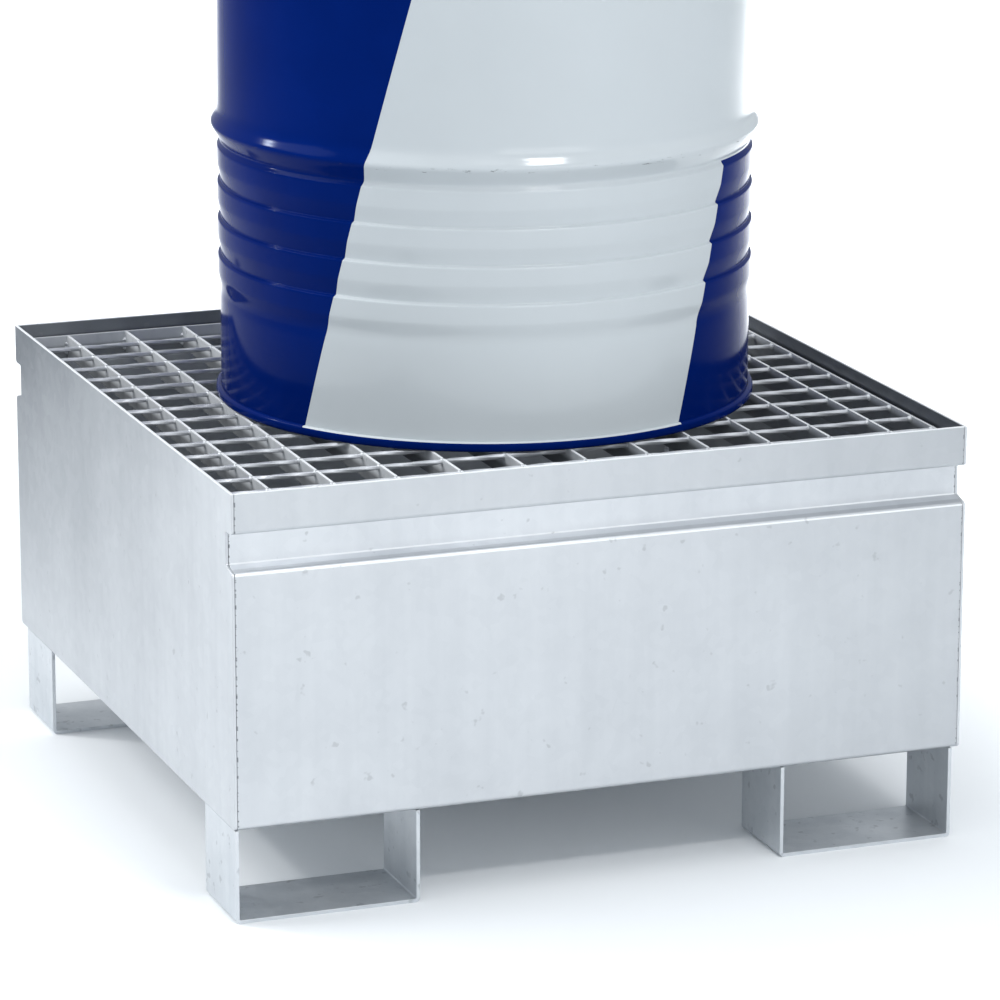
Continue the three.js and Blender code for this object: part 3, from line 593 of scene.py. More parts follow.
def lathe(profile, steps=ROUND_STEPS, centre=DRUM_CENTRE, start=0.0, turn=360.0):
    """A closed profile of (radius, height) turned about the upright axis through centre, from start degrees.
    Returns verts, faces and for each face the profile segment it came from."""
    full = turn >= 360.0
    stations = steps if full else steps + 1
    count = len(profile)
    rings, verts = [], []
    for radius, height in profile:
        if radius < 1e-7:
            verts.append((centre.x, centre.y, centre.z + height))
            rings.append([len(verts) - 1] * stations)
            continue
        ring = []
        for station in range(stations):
            angle = math.radians(start + turn * station / steps)
            verts.append((centre.x + radius * math.sin(angle),
                          centre.y - radius * math.cos(angle),
                          centre.z + height))
            ring.append(len(verts) - 1)
        rings.append(ring)
    faces, origin = [], []
    for i in range(count):
        near, far = rings[i], rings[(i + 1) % count]
        if near[0] == near[-1] and far[0] == far[-1]:
            continue
        for station in range(stations if full else stations - 1):
            after = (station + 1) % stations
            corners = dict.fromkeys((near[station], near[after], far[after], far[station]))
            if len(corners) > 2:
                faces.append(tuple(corners))
                origin.append(i)
    if not full:
        faces.append(tuple(ring[0] for ring in rings))
        faces.append(tuple(ring[-1] for ring in reversed(rings)))
        origin += [0, 0]
    return verts, faces, origin


def rounded(profile):
    """Cuts the corners of an open profile twice, keeping its two ends."""
    for _ in range(2):
        cut = [profile[0]]
        for (r0, z0), (r1, z1) in zip(profile, profile[1:]):
            cut.append((0.75 * r0 + 0.25 * r1, 0.75 * z0 + 0.25 * z1))
            cut.append((0.25 * r0 + 0.75 * r1, 0.25 * z0 + 0.75 * z1))
        cut.append(profile[-1])
        profile = cut
    return profile


def arc(radius_centre, height_centre, radius, start, end, steps):
    """Points of an arc in the profile plane, angles in degrees from outwards, turning up."""
    points = []
    for step in range(steps + 1):
        angle = math.radians(start + (end - start) * step / steps)
        points.append((radius_centre + radius * math.cos(angle), height_centre + radius * math.sin(angle)))
    return points


def merged(*parts):
    verts, faces = [], []
    for part_verts, part_faces in parts:
        offset = len(verts)
        verts += list(part_verts)
        faces += [tuple(index + offset for index in face) for face in part_faces]
    return verts, faces


def weld_bead(start, end, first, second, size, seed):
    """A fillet weld along a line in the corner between two faces with outward normals first and second."""
    randomness = random.Random(seed)
    start, end = Vector(start), Vector(end)
    first, second = Vector(first), Vector(second)
    ripple = 3.2 * MM
    rings_per_ripple = 4
    rings = max(6, int((end - start).length / (ripple / rings_per_ripple)))
    around = 8
    root_depth = 0.4 * MM
    drift = [randomness.uniform(-0.12, 0.12) for _ in range(rings // rings_per_ripple + 2)]
    verts = []
    for ring in range(rings + 1):
        along = ring / rings
        phase = (ring % rings_per_ripple) / rings_per_ripple
        taper = min(1.0, 6 * along + 0.25, 6 * (1 - along) + 0.25)
        leg = size * taper * (0.86 + 0.18 * math.sin(math.pi * phase) + drift[ring // rings_per_ripple])
        middle = start + (end - start) * along
        for step in range(around + 1):
            angle = math.pi / 2 * step / around
            reach = leg * (0.78 + 0.22 * abs(math.cos(2 * angle)))
            verts.append(middle + first * (reach * math.cos(angle)) + second * (reach * math.sin(angle)))
        verts.append(middle - (first + second) * root_depth)
    return verts, tube_faces(rings + 1, around + 2)


# ---------------- pallet

FEET = ("foot_front_left", "foot_front_right", "foot_back_left", "foot_back_right")


def trough_corners():
    wall = pallet_high.y - SHEET / 2
    groove = wall - GROOVE_DEPTH
    front = [
        (-wall, pallet_high.z),
        (-wall, LEDGE_TOP - SHEET / 2),
        (-groove, LEDGE_TOP - SHEET / 2),
        (-groove, SHELF_INNER - SHEET / 2),
        (-wall, SHELF_OUTER - SHEET / 2),
        (-wall, pallet_low.z + SHEET / 2),
    ]
    return front + [(-y, z) for y, z in reversed(front)]


def build_trough():
    shape = folded_sheet(trough_corners(), SHEET, BEND_RADIUS, run_along_x, pallet_low.x, pallet_high.x, 12)
    add_piece("folded_trough", shape, SHEET_ZINC, "pallet", ["sump_trough"], 0.4 * MM)


def build_side_plate(node):
    low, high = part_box(node)
    _, outline = sheet_sides(trough_corners(), SHEET, BEND_RADIUS)
    shape = prism(outline, run_along_x, low.x, high.x)
    add_piece(node + "_sheet", shape, PLATE_ZINC, "pallet", [node], 0.6 * MM)


def build_foot(node):
    low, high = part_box(node)
    middle = FOOT_SHEET / 2
    top = pallet_low.z
    corners = [
        (low.x + middle, top),
        (low.x + middle, low.z + middle),
        (high.x - middle, low.z + middle),
        (high.x - middle, top),
    ]
    shape = folded_sheet(corners, FOOT_SHEET, BEND_RADIUS, run_along_y, low.y, high.y)
    add_piece(node + "_channel", shape, FOOT_ZINC, "pallet", [node], 0.3 * MM)


def build_foot_welds():
    """Fillets under the floor, along the outside of each foot's uprights, except where a foot is flush with
    the left side plate.
    """
    parts = []
    for index, node in enumerate(FEET):
        low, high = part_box(node)
        for side, x in ((-1, low.x), (1, high.x)):
            if abs(x - plate_low.x) < 1 * MM:
                continue
            parts.append(weld_bead((x, low.y + WELD_CUT, high.z), (x, high.y - WELD_CUT, high.z),
                                   (side, 0, 0), (0, 0, -1), 4.5 * MM, 10 + index + side))
    add_piece("foot_welds", merged(*parts), WELD_ZINC, "pallet")


def build_corner_welds():
    """Fillets inside the basin where the folded sheet meets the side plates."""
    parts = []
    floor_top = pallet_low.z + SHEET
    for side in (-1, 1):
        x = -side * plate_high.x
        for seed, (y, depth) in enumerate(((pallet_low.y + SHEET, 1), (pallet_high.y - SHEET, -1))):
            parts.append(weld_bead((x, y, floor_top + 6.3 * MM), (x, y, SHELF_OUTER - WELD_CUT),
                                   (-side, 0, 0), (0, depth, 0), 4 * MM, 30 + seed + side))
        parts.append(weld_bead((x, pallet_low.y + WELD_CUT, floor_top),
                               (x, pallet_high.y - WELD_CUT, floor_top),
                               (-side, 0, 0), (0, 0, 1), 4 * MM, 40 + side))
    add_piece("basin_welds", merged(*parts), WELD_ZINC, "pallet")


# ---------------- grating

ROD_DROP = 0.5 * MM  # how far a twisted rod's middle sits below the middle of its CAD box


def keep_cad_shape(node, material, edge):
    """A CAD piece that stays as it is, with a material and rounded edges."""
    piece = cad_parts[node]
    piece.data.materials.clear()
    piece.data.materials.append(material)
    soften(piece, edge)


def build_cross_rod(node):
    """A square rod twisted along its length, as a string of turned squares with rounded corners."""
    low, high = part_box(node)
    half = (high.z - low.z) / 2
    middle_y, middle_z = (low.y + high.y) / 2, (low.z + high.z) / 2
    middle_z -= ROD_DROP
    turn_length = 150 * MM
    corner_reach = 1.22  # in half widths; a sharp corner would reach the square root of 2
    stations = int((high.x - low.x) / (3.2 * MM))
    section = []
    for corner in range(4):
        for offset in (-24, -8, 8, 24):
            angle = math.radians(90 * corner + 45 + offset)
            reach = half * min(1.0 / max(abs(math.cos(angle)), abs(math.sin(angle))), corner_reach)
            section.append((reach, angle))
    verts = []
    for station in range(stations + 1):
        x = low.x + (high.x - low.x) * station / stations
        for reach, angle in section:
            twisted = angle + 2 * math.pi * (x - low.x) / turn_length
            verts.append((x, middle_y + reach * math.cos(twisted), middle_z + reach * math.sin(twisted)))
    shape = (verts, tube_faces(stations + 1, len(section)))
    add_piece(node + "_twisted", shape, ROD_ZINC, "grating", [node], smooth_angle=50.0)


def zinc_collar(x, side, y, z, radius, reach, seed):
    """A small fillet of zinc round a rod where it meets the face of a bar."""
    randomness = random.Random(seed)
    around = 10
    rings = ((radius, 0.0), (0.78 * radius, 0.35 * reach), (0.62 * radius, reach))
    verts = []
    for ring_radius, out in rings:
        for step in range(around):
            angle = 2 * math.pi * step / around
            size = ring_radius * randomness.uniform(0.9, 1.1)
            height = min(z + size * math.sin(angle), grating_high.z)
            verts.append((x + side * out, y + size * math.cos(angle), height))
    return verts, tube_faces(len(rings), around)


def build_collars():
    """Zinc that ran into the corners where each rod meets the bearing bars and the edge bars."""
    parts = []
    seed = 100
    for rod in nodes_called("cross_rod"):
        rod_low, rod_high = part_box(rod)
        y, z = (rod_low.y + rod_high.y) / 2, (rod_low.z + rod_high.z) / 2 - ROD_DROP
        for bar in nodes_called("bearing_bar"):
            bar_low, bar_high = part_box(bar)
            for side, x in ((-1, bar_low.x), (1, bar_high.x)):
                seed += 1
                parts.append(zinc_collar(x, side, y, z, 3.6 * MM, 2.2 * MM, seed))
        for side, x in ((1, rod_low.x), (-1, rod_high.x)):
            seed += 1
            parts.append(zinc_collar(x, side, y, z, 4.6 * MM, 3.0 * MM, seed))
    add_piece("rod_collars", merged(*parts), BAR_ZINC, "grating", smooth_angle=60.0)


def build_bar_end_welds():
    """Short fillets where the bearing bars meet the end bars."""
    parts = []
    for index, bar in enumerate(nodes_called("bearing_bar"), start=1):
        low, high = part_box(bar)
        for way, y in ((1, low.y - 0.3 * MM), (-1, high.y + 0.3 * MM)):
            parts.append(weld_bead((low.x, y, low.z + 3 * MM), (low.x, y, low.z + 18 * MM),
                                   (-1, 0, 0), (0, way, 0), 3.0 * MM, 500 + index + way))
    add_piece("bar_end_welds", merged(*parts), WELD_ZINC, "grating")


# ---------------- drum

def hoop_profile(height, radius_below, radius_above):
    """A rolling hoop: a slope up from the wall, a narrow crest, and a shoulder leaning back to the wall."""
    return [
        (radius_below, height - HOOP_HALF_HEIGHT),
        (radius_below + 2 * MM, height - 17 * MM),
        (HOOP_RADIUS - 1.2 * MM, height - 4.5 * MM),
        (HOOP_RADIUS, height - 1.5 * MM),
        (HOOP_RADIUS, height + 0.5 * MM),
        (HOOP_RADIUS - 1 * MM, height + 3 * MM),
        (HOOP_RADIUS - 5.8 * MM, height + 11 * MM),
        (radius_above + 0.4 * MM, height + 16 * MM),
        (radius_above, height + 26 * MM),
    ]


def bead_profile():
    """The beads from the lowest up: each swells slowly to a flat and ends in a small step."""
    points = []
    for index in reversed(range(BEAD_COUNT)):
        top = FIRST_BEAD_TOP - index * BEAD_PITCH
        points += [
            (BEAD_ROOT_RADIUS + 0.5 * MM, top - BEAD_PITCH + 0.6 * MM),
            (BEAD_ROOT_RADIUS + 0.8 * MM, top - BEAD_PITCH + BEAD_STEP),
            (BEAD_RADIUS - 0.4 * MM, top - BEAD_FLAT - 2 * MM),
            (BEAD_RADIUS, top - BEAD_FLAT + 2 * MM),
            (BEAD_RADIUS, top - 2 * BEAD_STEP),
            (BEAD_RADIUS, top - 1.5 * MM),
            (BEAD_RADIUS - 0.9 * MM, top - 0.5 * MM),
        ]
    return points


def shell_outside():
    lowest = FIRST_BEAD_TOP - BEAD_COUNT * BEAD_PITCH
    profile = [(FOOT_RADIUS, height) for height in (4 * MM, 24 * MM, lowest - 10 * MM)]
    profile += bead_profile()[1:]
    profile += hoop_profile(LOWER_HOOP, BEAD_ROOT_RADIUS, MIDDLE_RADIUS)
    profile += hoop_profile(UPPER_HOOP, MIDDLE_RADIUS - 1 * MM, BODY_RADIUS)
    curl_bottom = CURL_TOP - 2 * CURL_TUBE
    profile += [(BODY_RADIUS, height) for height in (UPPER_HOOP + 60 * MM, 850 * MM, curl_bottom)]
    return rounded(profile)


def build_shell():
    outside = shell_outside()
    curl = arc(CURL_RADIUS - CURL_TUBE, CURL_TOP - CURL_TUBE, CURL_TUBE, -110, 170, 16)
    inside = [(radius - DRUM_SHEET, height) for radius, height in reversed(outside)]
    shape = lathe(outside + curl + inside)
    lacquered = len(outside) + len(curl)
    indices = [int(lacquered <= index < lacquered + len(inside) - 1) for index in shape[2]]
    add_piece("drum_body", shape, [BODY_PAINT, INNER_LACQUER], "drum", ["drum_shell"],
              face_materials=indices, smooth_angle=60.0)


def build_shell_seam():
    """The welded joint up the back of the shell: a low flat ridge that follows its outline."""
    seam_low, seam_high = 20 * MM, 858 * MM
    outline = [point for point in shell_outside() if seam_low < point[1] < seam_high]
    outer = [(radius + 0.35 * MM, height) for radius, height in outline]
    inner = [(radius - 0.5 * MM, height) for radius, height in reversed(outline)]
    shape = lathe(outer + inner, steps=3, start=150.0, turn=0.8)
    add_piece("shell_seam", shape, BODY_PAINT, "drum", smooth_angle=60.0)


def build_bottom_head():
    """The bottom and the chime, a double seam rolled round the end of the shell."""
    seam_top = CHIME_HEIGHT - 3 * MM
    seam_bottom = 3 * MM
    roll = 4 * MM
    inner_roll = 3 * MM
    panel_top = 20 * MM
    panel_under = panel_top - DRUM_SHEET
    mid_panel = 150 * MM
    wall_outer = FOOT_RADIUS + 0.3 * MM
    wall_inner = FOOT_RADIUS - 1.5 * MM
    underside = [(0.0, panel_under), (mid_panel, panel_under), (272 * MM, panel_under)]
    underside += [(278.5 * MM, 17 * MM), (283 * MM, 12 * MM), (284.5 * MM, 4 * MM)]
    seam = arc(287.5 * MM, inner_roll, inner_roll, 200, 270, 5)
    seam += arc(CHIME_RADIUS - roll, roll, roll, 270, 360, 7)
    seam += arc(CHIME_RADIUS - roll, seam_top - roll, roll, 0, 80, 7)
    seam += [(wall_outer, seam_top), (wall_outer, seam_bottom), (wall_inner, seam_bottom)]
    inside = [(wall_inner, 17 * MM), (wall_inner - 3 * MM, panel_top)]
    inside += [(mid_panel, panel_top), (0.0, panel_top)]
    shape = lathe(underside + seam + inside)
    indices = [int(index >= len(underside + seam)) for index in shape[2]]
    add_piece("bottom_and_chime", shape, [BODY_PAINT, INNER_LACQUER], "drum", ["bottom_head"],
              face_materials=indices, smooth_angle=50.0)


# ---------------- lid, bungs and closing ring

def lid_corners():
    """Middle line of the lid sheet from its centre to its turned-down edge, with two pressed beads."""
    level = LID_PANEL + DRUM_SHEET / 2
    crest = level + 3.5 * MM
    rim = RING_TOP - RING_SHEET - 0.3 * MM - DRUM_SHEET / 2
    edge = CURL_RADIUS - DRUM_SHEET / 2
    corners = [(0.0, level)]
    for middle in (120 * MM, 258 * MM):
        corners += [(middle - 12 * MM, level), (middle - 5 * MM, crest)]
        corners += [(middle + 5 * MM, crest), (middle + 12 * MM, level)]
    corners += [(LID_WALL_RADIUS - 3 * MM, level), (LID_WALL_RADIUS, rim)]
    return corners + [(edge, rim), (edge, rim - 3.5 * MM)]


def cut_holes(piece, tools):
    """Cuts closed tool meshes out of a piece and leaves the result as its mesh."""
    for tool in tools:
        cutter = piece.modifiers.new("hole", "BOOLEAN")
        cutter.object = tool
        cutter.solver = "EXACT"
    bpy.context.view_layer.update()
    shaped = bpy.data.meshes.new_from_object(piece.evaluated_get(bpy.context.evaluated_depsgraph_get()))
    piece.modifiers.clear()
    piece.data = shaped
    for tool in tools:
        bpy.data.objects.remove(tool)


def upright_cylinder(centre, radius, low, high):
    steps = 64
    verts = []
    for z in (low, high):
        for step in range(steps):
            angle = 2 * math.pi * step / steps
            verts.append((centre.x + radius * math.cos(angle), centre.y + radius * math.sin(angle), z))
    faces = [tuple(reversed(range(steps))), tuple(range(steps, 2 * steps))]
    faces += [(i, (i + 1) % steps, steps + (i + 1) % steps, steps + i) for i in range(steps)]
    return verts, faces


def build_lid():
    left, right = sheet_sides(lid_corners(), DRUM_SHEET, 2.2 * MM)
    top = [(max(radius, 0.0), height) for radius, height in left]
    under = [(max(radius, 0.0), height) for radius, height in reversed(right)]
    shape = lathe(top + under, steps=LID_STEPS)
    indices = [int(index >= len(top)) for index in shape[2]]
    piece = add_piece("lid_sheet", shape, [LID_PAINT, INNER_LACQUER], "lid", ["drum_lid"],
                      face_materials=indices, smooth_angle=50.0)
    tools = []
    for flange in ("large_bung_flange", "small_bung_flange"):
        low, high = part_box(flange)
        radius = half_width(flange) - FLANGE_BASE_WIDTH + 0.3 * MM
        verts, faces = upright_cylinder(base_centre(flange), radius, low.z - 10 * MM, high.z + 10 * MM)
        mesh = bpy.data.meshes.new("tool")
        mesh.from_pydata(verts, [], faces)
        tool = bpy.data.objects.new("tool", mesh)
        scene.collection.objects.link(tool)
        tools.append(tool)
    cut_holes(piece, tools)


def ring_section(inner, outer, bottom, top, corner, steps):
    """A rectangle with rounded corners, as the profile of a gasket."""
    return (arc(outer - corner, bottom + corner, corner, -90, 0, steps)
            + arc(outer - corner, top - corner, corner, 0, 90, steps)
            + arc(inner + corner, top - corner, corner, 90, 180, steps)
            + arc(inner + corner, bottom + corner, corner, 180, 270, steps))


def build_lid_gasket():
    low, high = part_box("lid_gasket")
    outer = half_width("lid_gasket")
    bottom, top = low.z - DRUM_CENTRE.z, high.z - DRUM_CENTRE.z
    profile = ring_section(outer - 6.3 * MM, outer, bottom, top, 1.6 * MM, 4)
    shape = lathe(profile, steps=LID_STEPS)
    add_piece("rim_gasket", shape, GASKET, "lid", ["lid_gasket"], smooth_angle=60.0)


FLANGE_BASE_WIDTH = 5 * MM
FLANGE_BASE_HEIGHT = 4 * MM
PLUG_HEAD_LIP = {"large": 5 * MM, "small": 4.5 * MM}
PLUG_WALL = {"large": 8 * MM, "small": 4 * MM}
THREAD_CLEARANCE = 0.8 * MM
BUNG_STEPS = 72


def build_bung(prefix):
    """One bung: a serrated flange under the lid, a ring gasket and a cup-shaped plug."""
    flange, gasket, plug = (f"{prefix}_bung_{part}" for part in ("flange", "gasket", "plug"))
    thread = half_width(plug) - PLUG_HEAD_LIP[prefix]
    bore = thread + THREAD_CLEARANCE
    build_flange(flange, bore)
    build_bung_gasket(gasket, bore, f"{prefix}_bung_seal")
    build_plug(plug, f"{prefix}_bung", thread, thread - PLUG_WALL[prefix])


def build_flange(flange, bore):
    low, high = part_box(flange)
    centre = base_centre(flange)
    base = half_width(flange)
    neck = base - FLANGE_BASE_WIDTH
    height = high.z - low.z
    chamfer = 0.8 * MM
    profile = [(bore, 0.0), (base - chamfer, 0.0), (base, chamfer), (base, FLANGE_BASE_HEIGHT - chamfer)]
    profile += [(base - chamfer, FLANGE_BASE_HEIGHT), (neck, FLANGE_BASE_HEIGHT), (neck, height - 1.5 * MM)]
    profile += [(neck - 1.2 * MM, height), (bore + 0.6 * MM, height), (bore, height - 0.6 * MM)]
    verts, faces, _ = lathe(profile, steps=BUNG_STEPS, centre=centre)
    verts = [serrated(vert, centre, base) for vert in verts]
    add_piece(flange + "_insert", (verts, faces), PLATED, "lid", [flange], smooth_angle=35.0)


def build_bung_gasket(gasket, bore, body):
    low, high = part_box(gasket)
    profile = ring_section(bore - 0.5 * MM, half_width(gasket), 0.0, high.z - low.z, 0.7 * MM, 3)
    shape = lathe(profile, steps=64, centre=base_centre(gasket))
    add_piece(gasket + "_ring", shape, GASKET, body, [gasket], smooth_angle=60.0)


def serrated(vert, centre, base):
    """Small teeth round the flange's widest edge."""
    out = Vector((vert[0] - centre.x, vert[1] - centre.y))
    if out.length < base - 0.5 * MM:
        return vert
    tooth = round(math.atan2(out.y, out.x) / (2 * math.pi) * BUNG_STEPS) % 2
    out *= 1.0 - 0.02 * tooth
    return (centre.x + out.x, centre.y + out.y, vert[2])


def build_plug(plug, body, thread, socket):
    """A cup with ridges for its thread and two wrench lugs inside; socket is the cup's inner radius."""
    low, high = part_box(plug)
    centre = base_centre(plug)
    head = half_width(plug)
    height = high.z - low.z
    floor = 2.2 * MM
    under_head = height - 4 * MM
    chamfer = 1.2 * MM
    profile = [(0.0, 0.0), (thread - 1.5 * MM, 0.0)]
    for turn in range(int((under_head - 3 * MM) / THREAD_PITCH)):
        root = 1.5 * MM + turn * THREAD_PITCH
        profile += [(thread - 0.9 * MM, root), (thread, root + THREAD_PITCH / 2)]
    profile += [(thread - 0.9 * MM, under_head - 1 * MM), (thread - 0.5 * MM, under_head)]
    profile += [(head - 0.6 * MM, under_head), (head, under_head + 0.8 * MM)]
    profile += [(head, height - chamfer), (head - chamfer, height)]
    profile += [(socket + chamfer, height), (socket, height - chamfer), (socket - 0.6 * MM, floor + 1.5 * MM)]
    profile += [(socket - 2 * MM, floor), (0.0, floor)]
    parts = [lathe(profile, steps=BUNG_STEPS, centre=centre)[:2]]

    def place(a, b, run):
        return (centre.x + a, centre.y + run, centre.z + b)

    lug_root = socket - 0.2 * MM
    lug_tip = 0.58 * socket
    lug_bottom = floor - 0.3 * MM
    lug_half = 0.16 * socket + 1.2 * MM
    for way in (-1, 1):
        outline = [(way * lug_root, lug_bottom), (way * lug_root, height - 3 * MM)]
        outline += [(way * lug_tip, height - 4.5 * MM), (way * lug_tip, lug_bottom)]
        parts.append(prism(outline, place, -lug_half, lug_half))
    add_piece(plug + "_cup", merged(*parts), PLATED, body, [plug], smooth_angle=35.0)


def azimuth_of(node):
    low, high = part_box(node)
    middle = (low + high) / 2 - DRUM_CENTRE
    return math.degrees(math.atan2(middle.x, -middle.y))


LEVER_AZIMUTH = azimuth_of("lever_pin")
LINK_AZIMUTH = azimuth_of("link_pin")
HOOK_AZIMUTH = azimuth_of("hook_pin")
PIN_CIRCLE = RING_RADIUS + 8 * MM


def degrees_of(length):
    return math.degrees(length / PIN_CIRCLE)


def build_ring():
    """The split ring: a folded U section swept round, open at the lever."""
    half = RING_SHEET / 2
    outer = RING_RADIUS - half
    over_lid = 287 * MM  # how far in the upper leg reaches over the lid's edge
    corners = [
        (CURL_RADIUS + 0.6 * MM, RING_BOTTOM + half),
        (outer, RING_BOTTOM + half),
        (outer, RING_TOP - half),
        (over_lid, RING_TOP - half),
    ]
    left, right = sheet_sides(corners, RING_SHEET, 2.6 * MM)
    middle = (LEVER_AZIMUTH + HOOK_AZIMUTH) / 2
    gap = math.degrees(8 * MM / RING_RADIUS)
    shape = lathe(left + right[::-1], steps=300, start=middle + gap, turn=360.0 - 2 * gap)
    add_piece("split_ring", shape, PLATED, "ring", ["closing_ring"], smooth_angle=45.0)


def turned(shape, azimuth):
    """A shape drawn at the front of the drum, where -Y is outwards, turned to its azimuth."""
    spin = Matrix.Rotation(math.radians(azimuth), 3, "Z")
    return [DRUM_CENTRE + spin @ Vector(vert) for vert in shape[0]], shape[1]


def build_bracket(node, azimuth, ear_inner, ear_outer):
    """Two rounded ears standing out from a back plate that is spot-welded to the ring."""
    wall = RING_RADIUS + 0.05 * MM
    half = 7 * MM
    back = [(-half, -wall), (half, -wall), (half, -wall - 2 * MM), (-half, -wall - 2 * MM)]
    parts = [prism(back, run_along_z, RING_MIDDLE - ear_outer, RING_MIDDLE + ear_outer)]
    ear = [(-half, -wall - 1 * MM), (half, -wall - 1 * MM)]
    for step in range(9):
        angle = math.radians(-180 * step / 8)
        ear.append((1.25 * EAR_RADIUS * math.cos(angle), -PIN_CIRCLE + EAR_RADIUS * math.sin(angle)))
    for side in (-1, 1):
        near, far = sorted((side * ear_inner, side * ear_outer))
        parts.append(prism(ear, run_along_z, RING_MIDDLE + near, RING_MIDDLE + far))
    shape = turned(merged(*parts), azimuth)
    add_piece(node + "_ears", shape, PLATED, "ring", [node], 0.3 * MM)


def build_pin(node, body, azimuth):
    """A rivet with a domed head at each end."""
    low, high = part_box(node)
    half = (high.z - low.z) / 2
    head = 3.9 * MM
    shank = 2.5 * MM
    upper = [(shank, 0.95 * MM), (head, 0.9 * MM), (head, 0.6 * MM), (0.6 * head, 0.1 * MM), (0.0, 0.0)]
    profile = [(radius, -half + depth) for radius, depth in reversed(upper)]
    profile += [(radius, half - depth) for radius, depth in upper]
    centre = DRUM_CENTRE + Vector((*on_circle(PIN_CIRCLE, azimuth), RING_MIDDLE))
    shape = lathe(profile, steps=28, centre=centre)
    add_piece(node + "_rivet", shape, PLATED, body, [node], smooth_angle=40.0)


def on_circle(radius, degrees):
    """A point at an azimuth round the drum, seen from above."""
    angle = math.radians(degrees)
    return (radius * math.sin(angle), -radius * math.cos(angle))


def arc_band(inner, outer, start, end, steps):
    azimuths = [start + (end - start) * step / steps for step in range(steps + 1)]
    return [on_circle(outer, azimuth) for azimuth in azimuths] + [
        on_circle(inner, azimuth) for azimuth in reversed(azimuths)]


def build_lever():
    """The over-centre lever: a shallow channel that hugs the ring, two ears, and a lifted finger end."""
    low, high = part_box("ring_lever")
    half = (high.z - low.z) / 2
    start = LEVER_AZIMUTH + degrees_of(11 * MM)
    end = LEVER_AZIMUTH + degrees_of(180 * MM)
    web = PIN_CIRCLE + 6 * MM
    thick = 1.6 * MM
    flange = -3.2 * MM
    section = [(flange, -half), (thick, -half), (thick, half), (flange, half)]
    section += [(flange, half - thick), (0.0, half - thick), (0.0, -half + thick), (flange, -half + thick)]
    stations = 40
    verts = []
    for station in range(stations + 1):
        along = station / stations
        lift = 0.9 * MM * max(0.0, (along - 0.86) / 0.14) ** 1.5
        narrowing = 1.0 - 0.12 * max(0.0, (along - 0.9) / 0.1) ** 2
        for out, z in section:
            x, y = on_circle(web + out + lift, start + (end - start) * along)
            verts.append((x, y, RING_MIDDLE + z * narrowing))
    parts = [(verts, tube_faces(stations + 1, len(section)))]
    ear_end = LINK_AZIMUTH + degrees_of(6 * MM)
    ear = arc_band(PIN_CIRCLE - EAR_RADIUS, PIN_CIRCLE + EAR_RADIUS, LEVER_AZIMUTH, ear_end, 10)
    pin_x, pin_y = on_circle(PIN_CIRCLE, LEVER_AZIMUTH)
    for step in range(1, 12):
        out_x, out_y = on_circle(EAR_RADIUS, LEVER_AZIMUTH + 180 * step / 12)
        ear.append((pin_x - out_x, pin_y - out_y))
    shoulder = arc_band(PIN_CIRCLE, web + 0.5 * MM, start, ear_end, 8)
    for z in (-5 * MM, 3.5 * MM):
        for outline in (ear, shoulder):
            parts.append(prism(outline, run_along_z, RING_MIDDLE + z, RING_MIDDLE + z + 1.5 * MM))
    shape = turned(merged(*parts), 0.0)
    add_piece("lever_handle", shape, PLATED, "lever", ["ring_lever"], 0.3 * MM)


# ---------------- build

build_trough()
for plate in ("left_side_plate", "right_side_plate"):
    build_side_plate(plate)
for foot in FEET:
    build_foot(foot)
build_foot_welds()
build_corner_welds()
for bar in nodes_called("bearing_bar", "edge_bar", "end_bar"):
    keep_cad_shape(bar, BAR_ZINC, 0.45 * MM)
for rod in nodes_called("cross_rod"):
    build_cross_rod(rod)
build_collars()
build_bar_end_welds()
build_shell()
build_shell_seam()
build_bottom_head()
build_lid()
build_lid_gasket()
for size in ("large", "small"):
    build_bung(size)
build_ring()
build_bracket("lever_bracket", LEVER_AZIMUTH, 5.5 * MM, 7.5 * MM)
build_bracket("hook_bracket", HOOK_AZIMUTH, 3.5 * MM, 5.5 * MM)
build_pin("lever_pin", "ring", LEVER_AZIMUTH)
build_pin("hook_pin", "ring", HOOK_AZIMUTH)
build_pin("link_pin", "lever", LINK_AZIMUTH)
build_lever()
keep_cad_shape("ring_link", PLATED, 0.5 * MM)


# ---------------- floor, light and camera

def build_floor():
    """A plain pale floor, slightly cool, so that its shadows are bluish."""
    mesh = bpy.data.meshes.new("floor")
    reach = 40.0
    corners = [(-reach, -reach, 0), (reach, -reach, 0), (reach, reach, 0), (-reach, reach, 0)]
    mesh.from_pydata(corners, [], [(0, 1, 2, 3)])
    floor = bpy.data.objects.new("floor", mesh)
    scene.collection.objects.link(floor)
    material, tree, shader = new_material("studio_floor", 0.85, 0.0)
    mottle = remap(tree, noise(tree, object_coordinates(tree), 3.0), 0.3, 0.7)
    colour = mix_colours(tree, mottle, (0.925, 0.95, 0.965), (0.91, 0.935, 0.955))
    feed(shader, "Base Color", colour)
    mesh.materials.append(material)


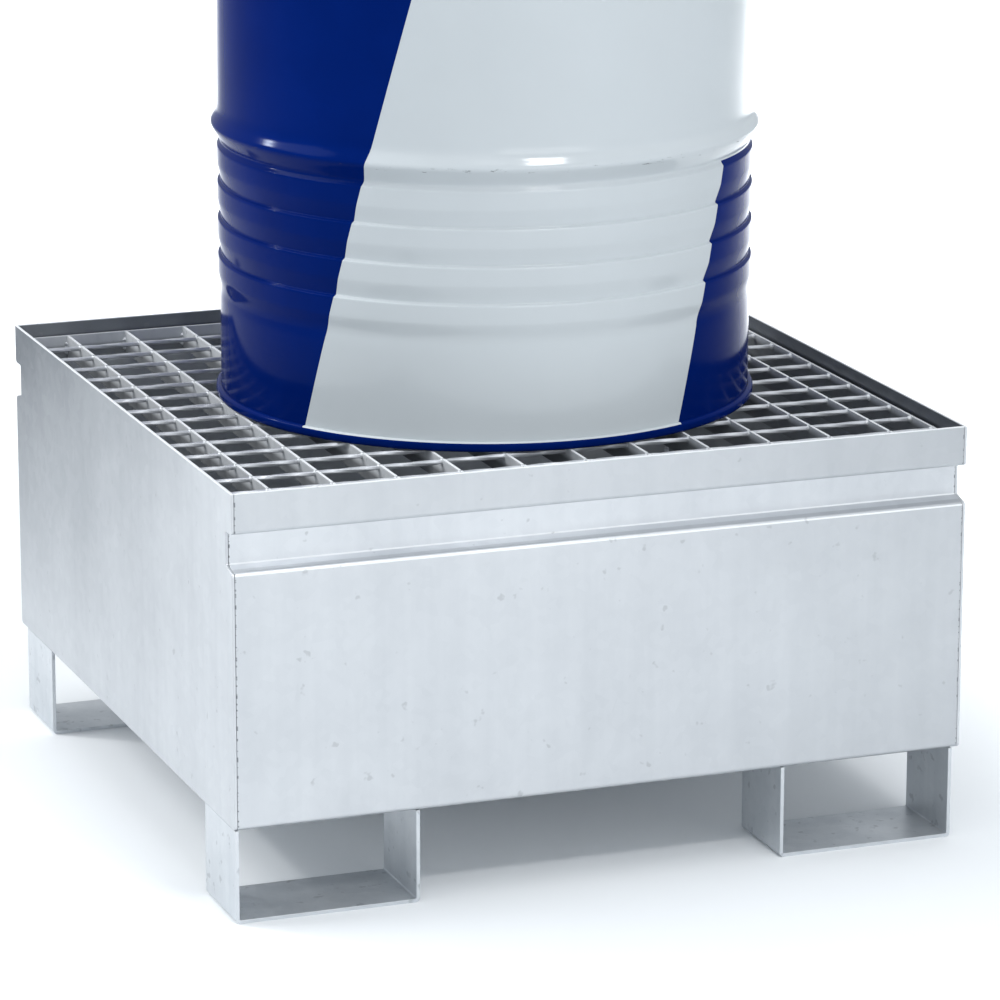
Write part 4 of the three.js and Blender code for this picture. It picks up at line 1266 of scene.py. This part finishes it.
def area_light(name, azimuth, elevation, distance, size, power, aim=(0.0, 0.0, 0.5), spread=180.0):
    """A soft box turned towards aim, from an azimuth round it, 0 being the front; power is in watts."""
    data = bpy.data.lights.new(name, "AREA")
    data.shape = "RECTANGLE"
    data.size, data.size_y = size
    data.energy = power
    data.spread = math.radians(spread)
    light = bpy.data.objects.new(name, data)
    scene.collection.objects.link(light)
    turn, rise = math.radians(azimuth), math.radians(elevation)
    away = Vector((math.sin(turn) * math.cos(rise), -math.cos(turn) * math.cos(rise), math.sin(rise)))
    light.location = Vector(aim) + away * distance
    light.rotation_euler = away.to_track_quat("Z", "Y").to_euler()


def build_world():
    world = bpy.data.worlds.new("studio")
    scene.world = world
    world.use_nodes = True
    background = world.node_tree.nodes["Background"]
    background.inputs["Color"].default_value = (0.90, 0.95, 1.0, 1.0)
    background.inputs["Strength"].default_value = 0.66


CAMERA_PLACE = (-1.845, -4.968, 1.713)
CAMERA_TURN = (20.72, 14.82, 0.10)  # degrees: yaw to the right of straight back, pitch down, roll
CAMERA_LENS = 177.9
CAMERA_SENSOR = 36.0


def build_camera():
    """A long lens to the front left, a little above the drum's top, looking slightly down."""
    yaw, pitch, roll = (math.radians(angle) for angle in CAMERA_TURN)
    ahead = Vector((math.sin(yaw) * math.cos(pitch), math.cos(yaw) * math.cos(pitch), -math.sin(pitch)))
    level_right = Vector((math.cos(yaw), -math.sin(yaw), 0.0))
    level_up = level_right.cross(ahead)
    right = level_right * math.cos(roll) + level_up * math.sin(roll)
    up = level_up * math.cos(roll) - level_right * math.sin(roll)
    turn = Matrix((right, up, -ahead)).transposed().to_4x4()
    data = bpy.data.cameras.new("camera")
    data.sensor_width = CAMERA_SENSOR
    data.lens = CAMERA_LENS
    camera = bpy.data.objects.new("camera", data)
    camera.matrix_world = Matrix.Translation(CAMERA_PLACE) @ turn
    scene.collection.objects.link(camera)
    scene.camera = camera


build_floor()
build_world()
area_light("key", 8.0, 45.0, 3.6, (0.8, 0.3), 27.0)
area_light("overhead", 10.0, 73.0, 3.0, (2.6, 2.6), 27.5)
area_light("back_left", -126.0, 27.0, 4.0, (0.3, 0.2), 32.0)
area_light("left_fill", -115.0, 40.0, 4.0, (2.4, 1.8), 70.0)
area_light("front_fill", 4.0, 9.0, 4.5, (3.0, 1.6), 33.0)
area_light("background", 0.0, 90.0, 4.0, (3.4, 6.0), 300.0, aim=(2.6, 4.8, 0.0), spread=60.0)
area_light("floor_right", 0.0, 90.0, 1.2, (0.8, 2.8), 3.8, aim=(1.08, 0.2, 0.0), spread=30.0)
build_camera()
scene.view_settings.view_transform = "Standard"
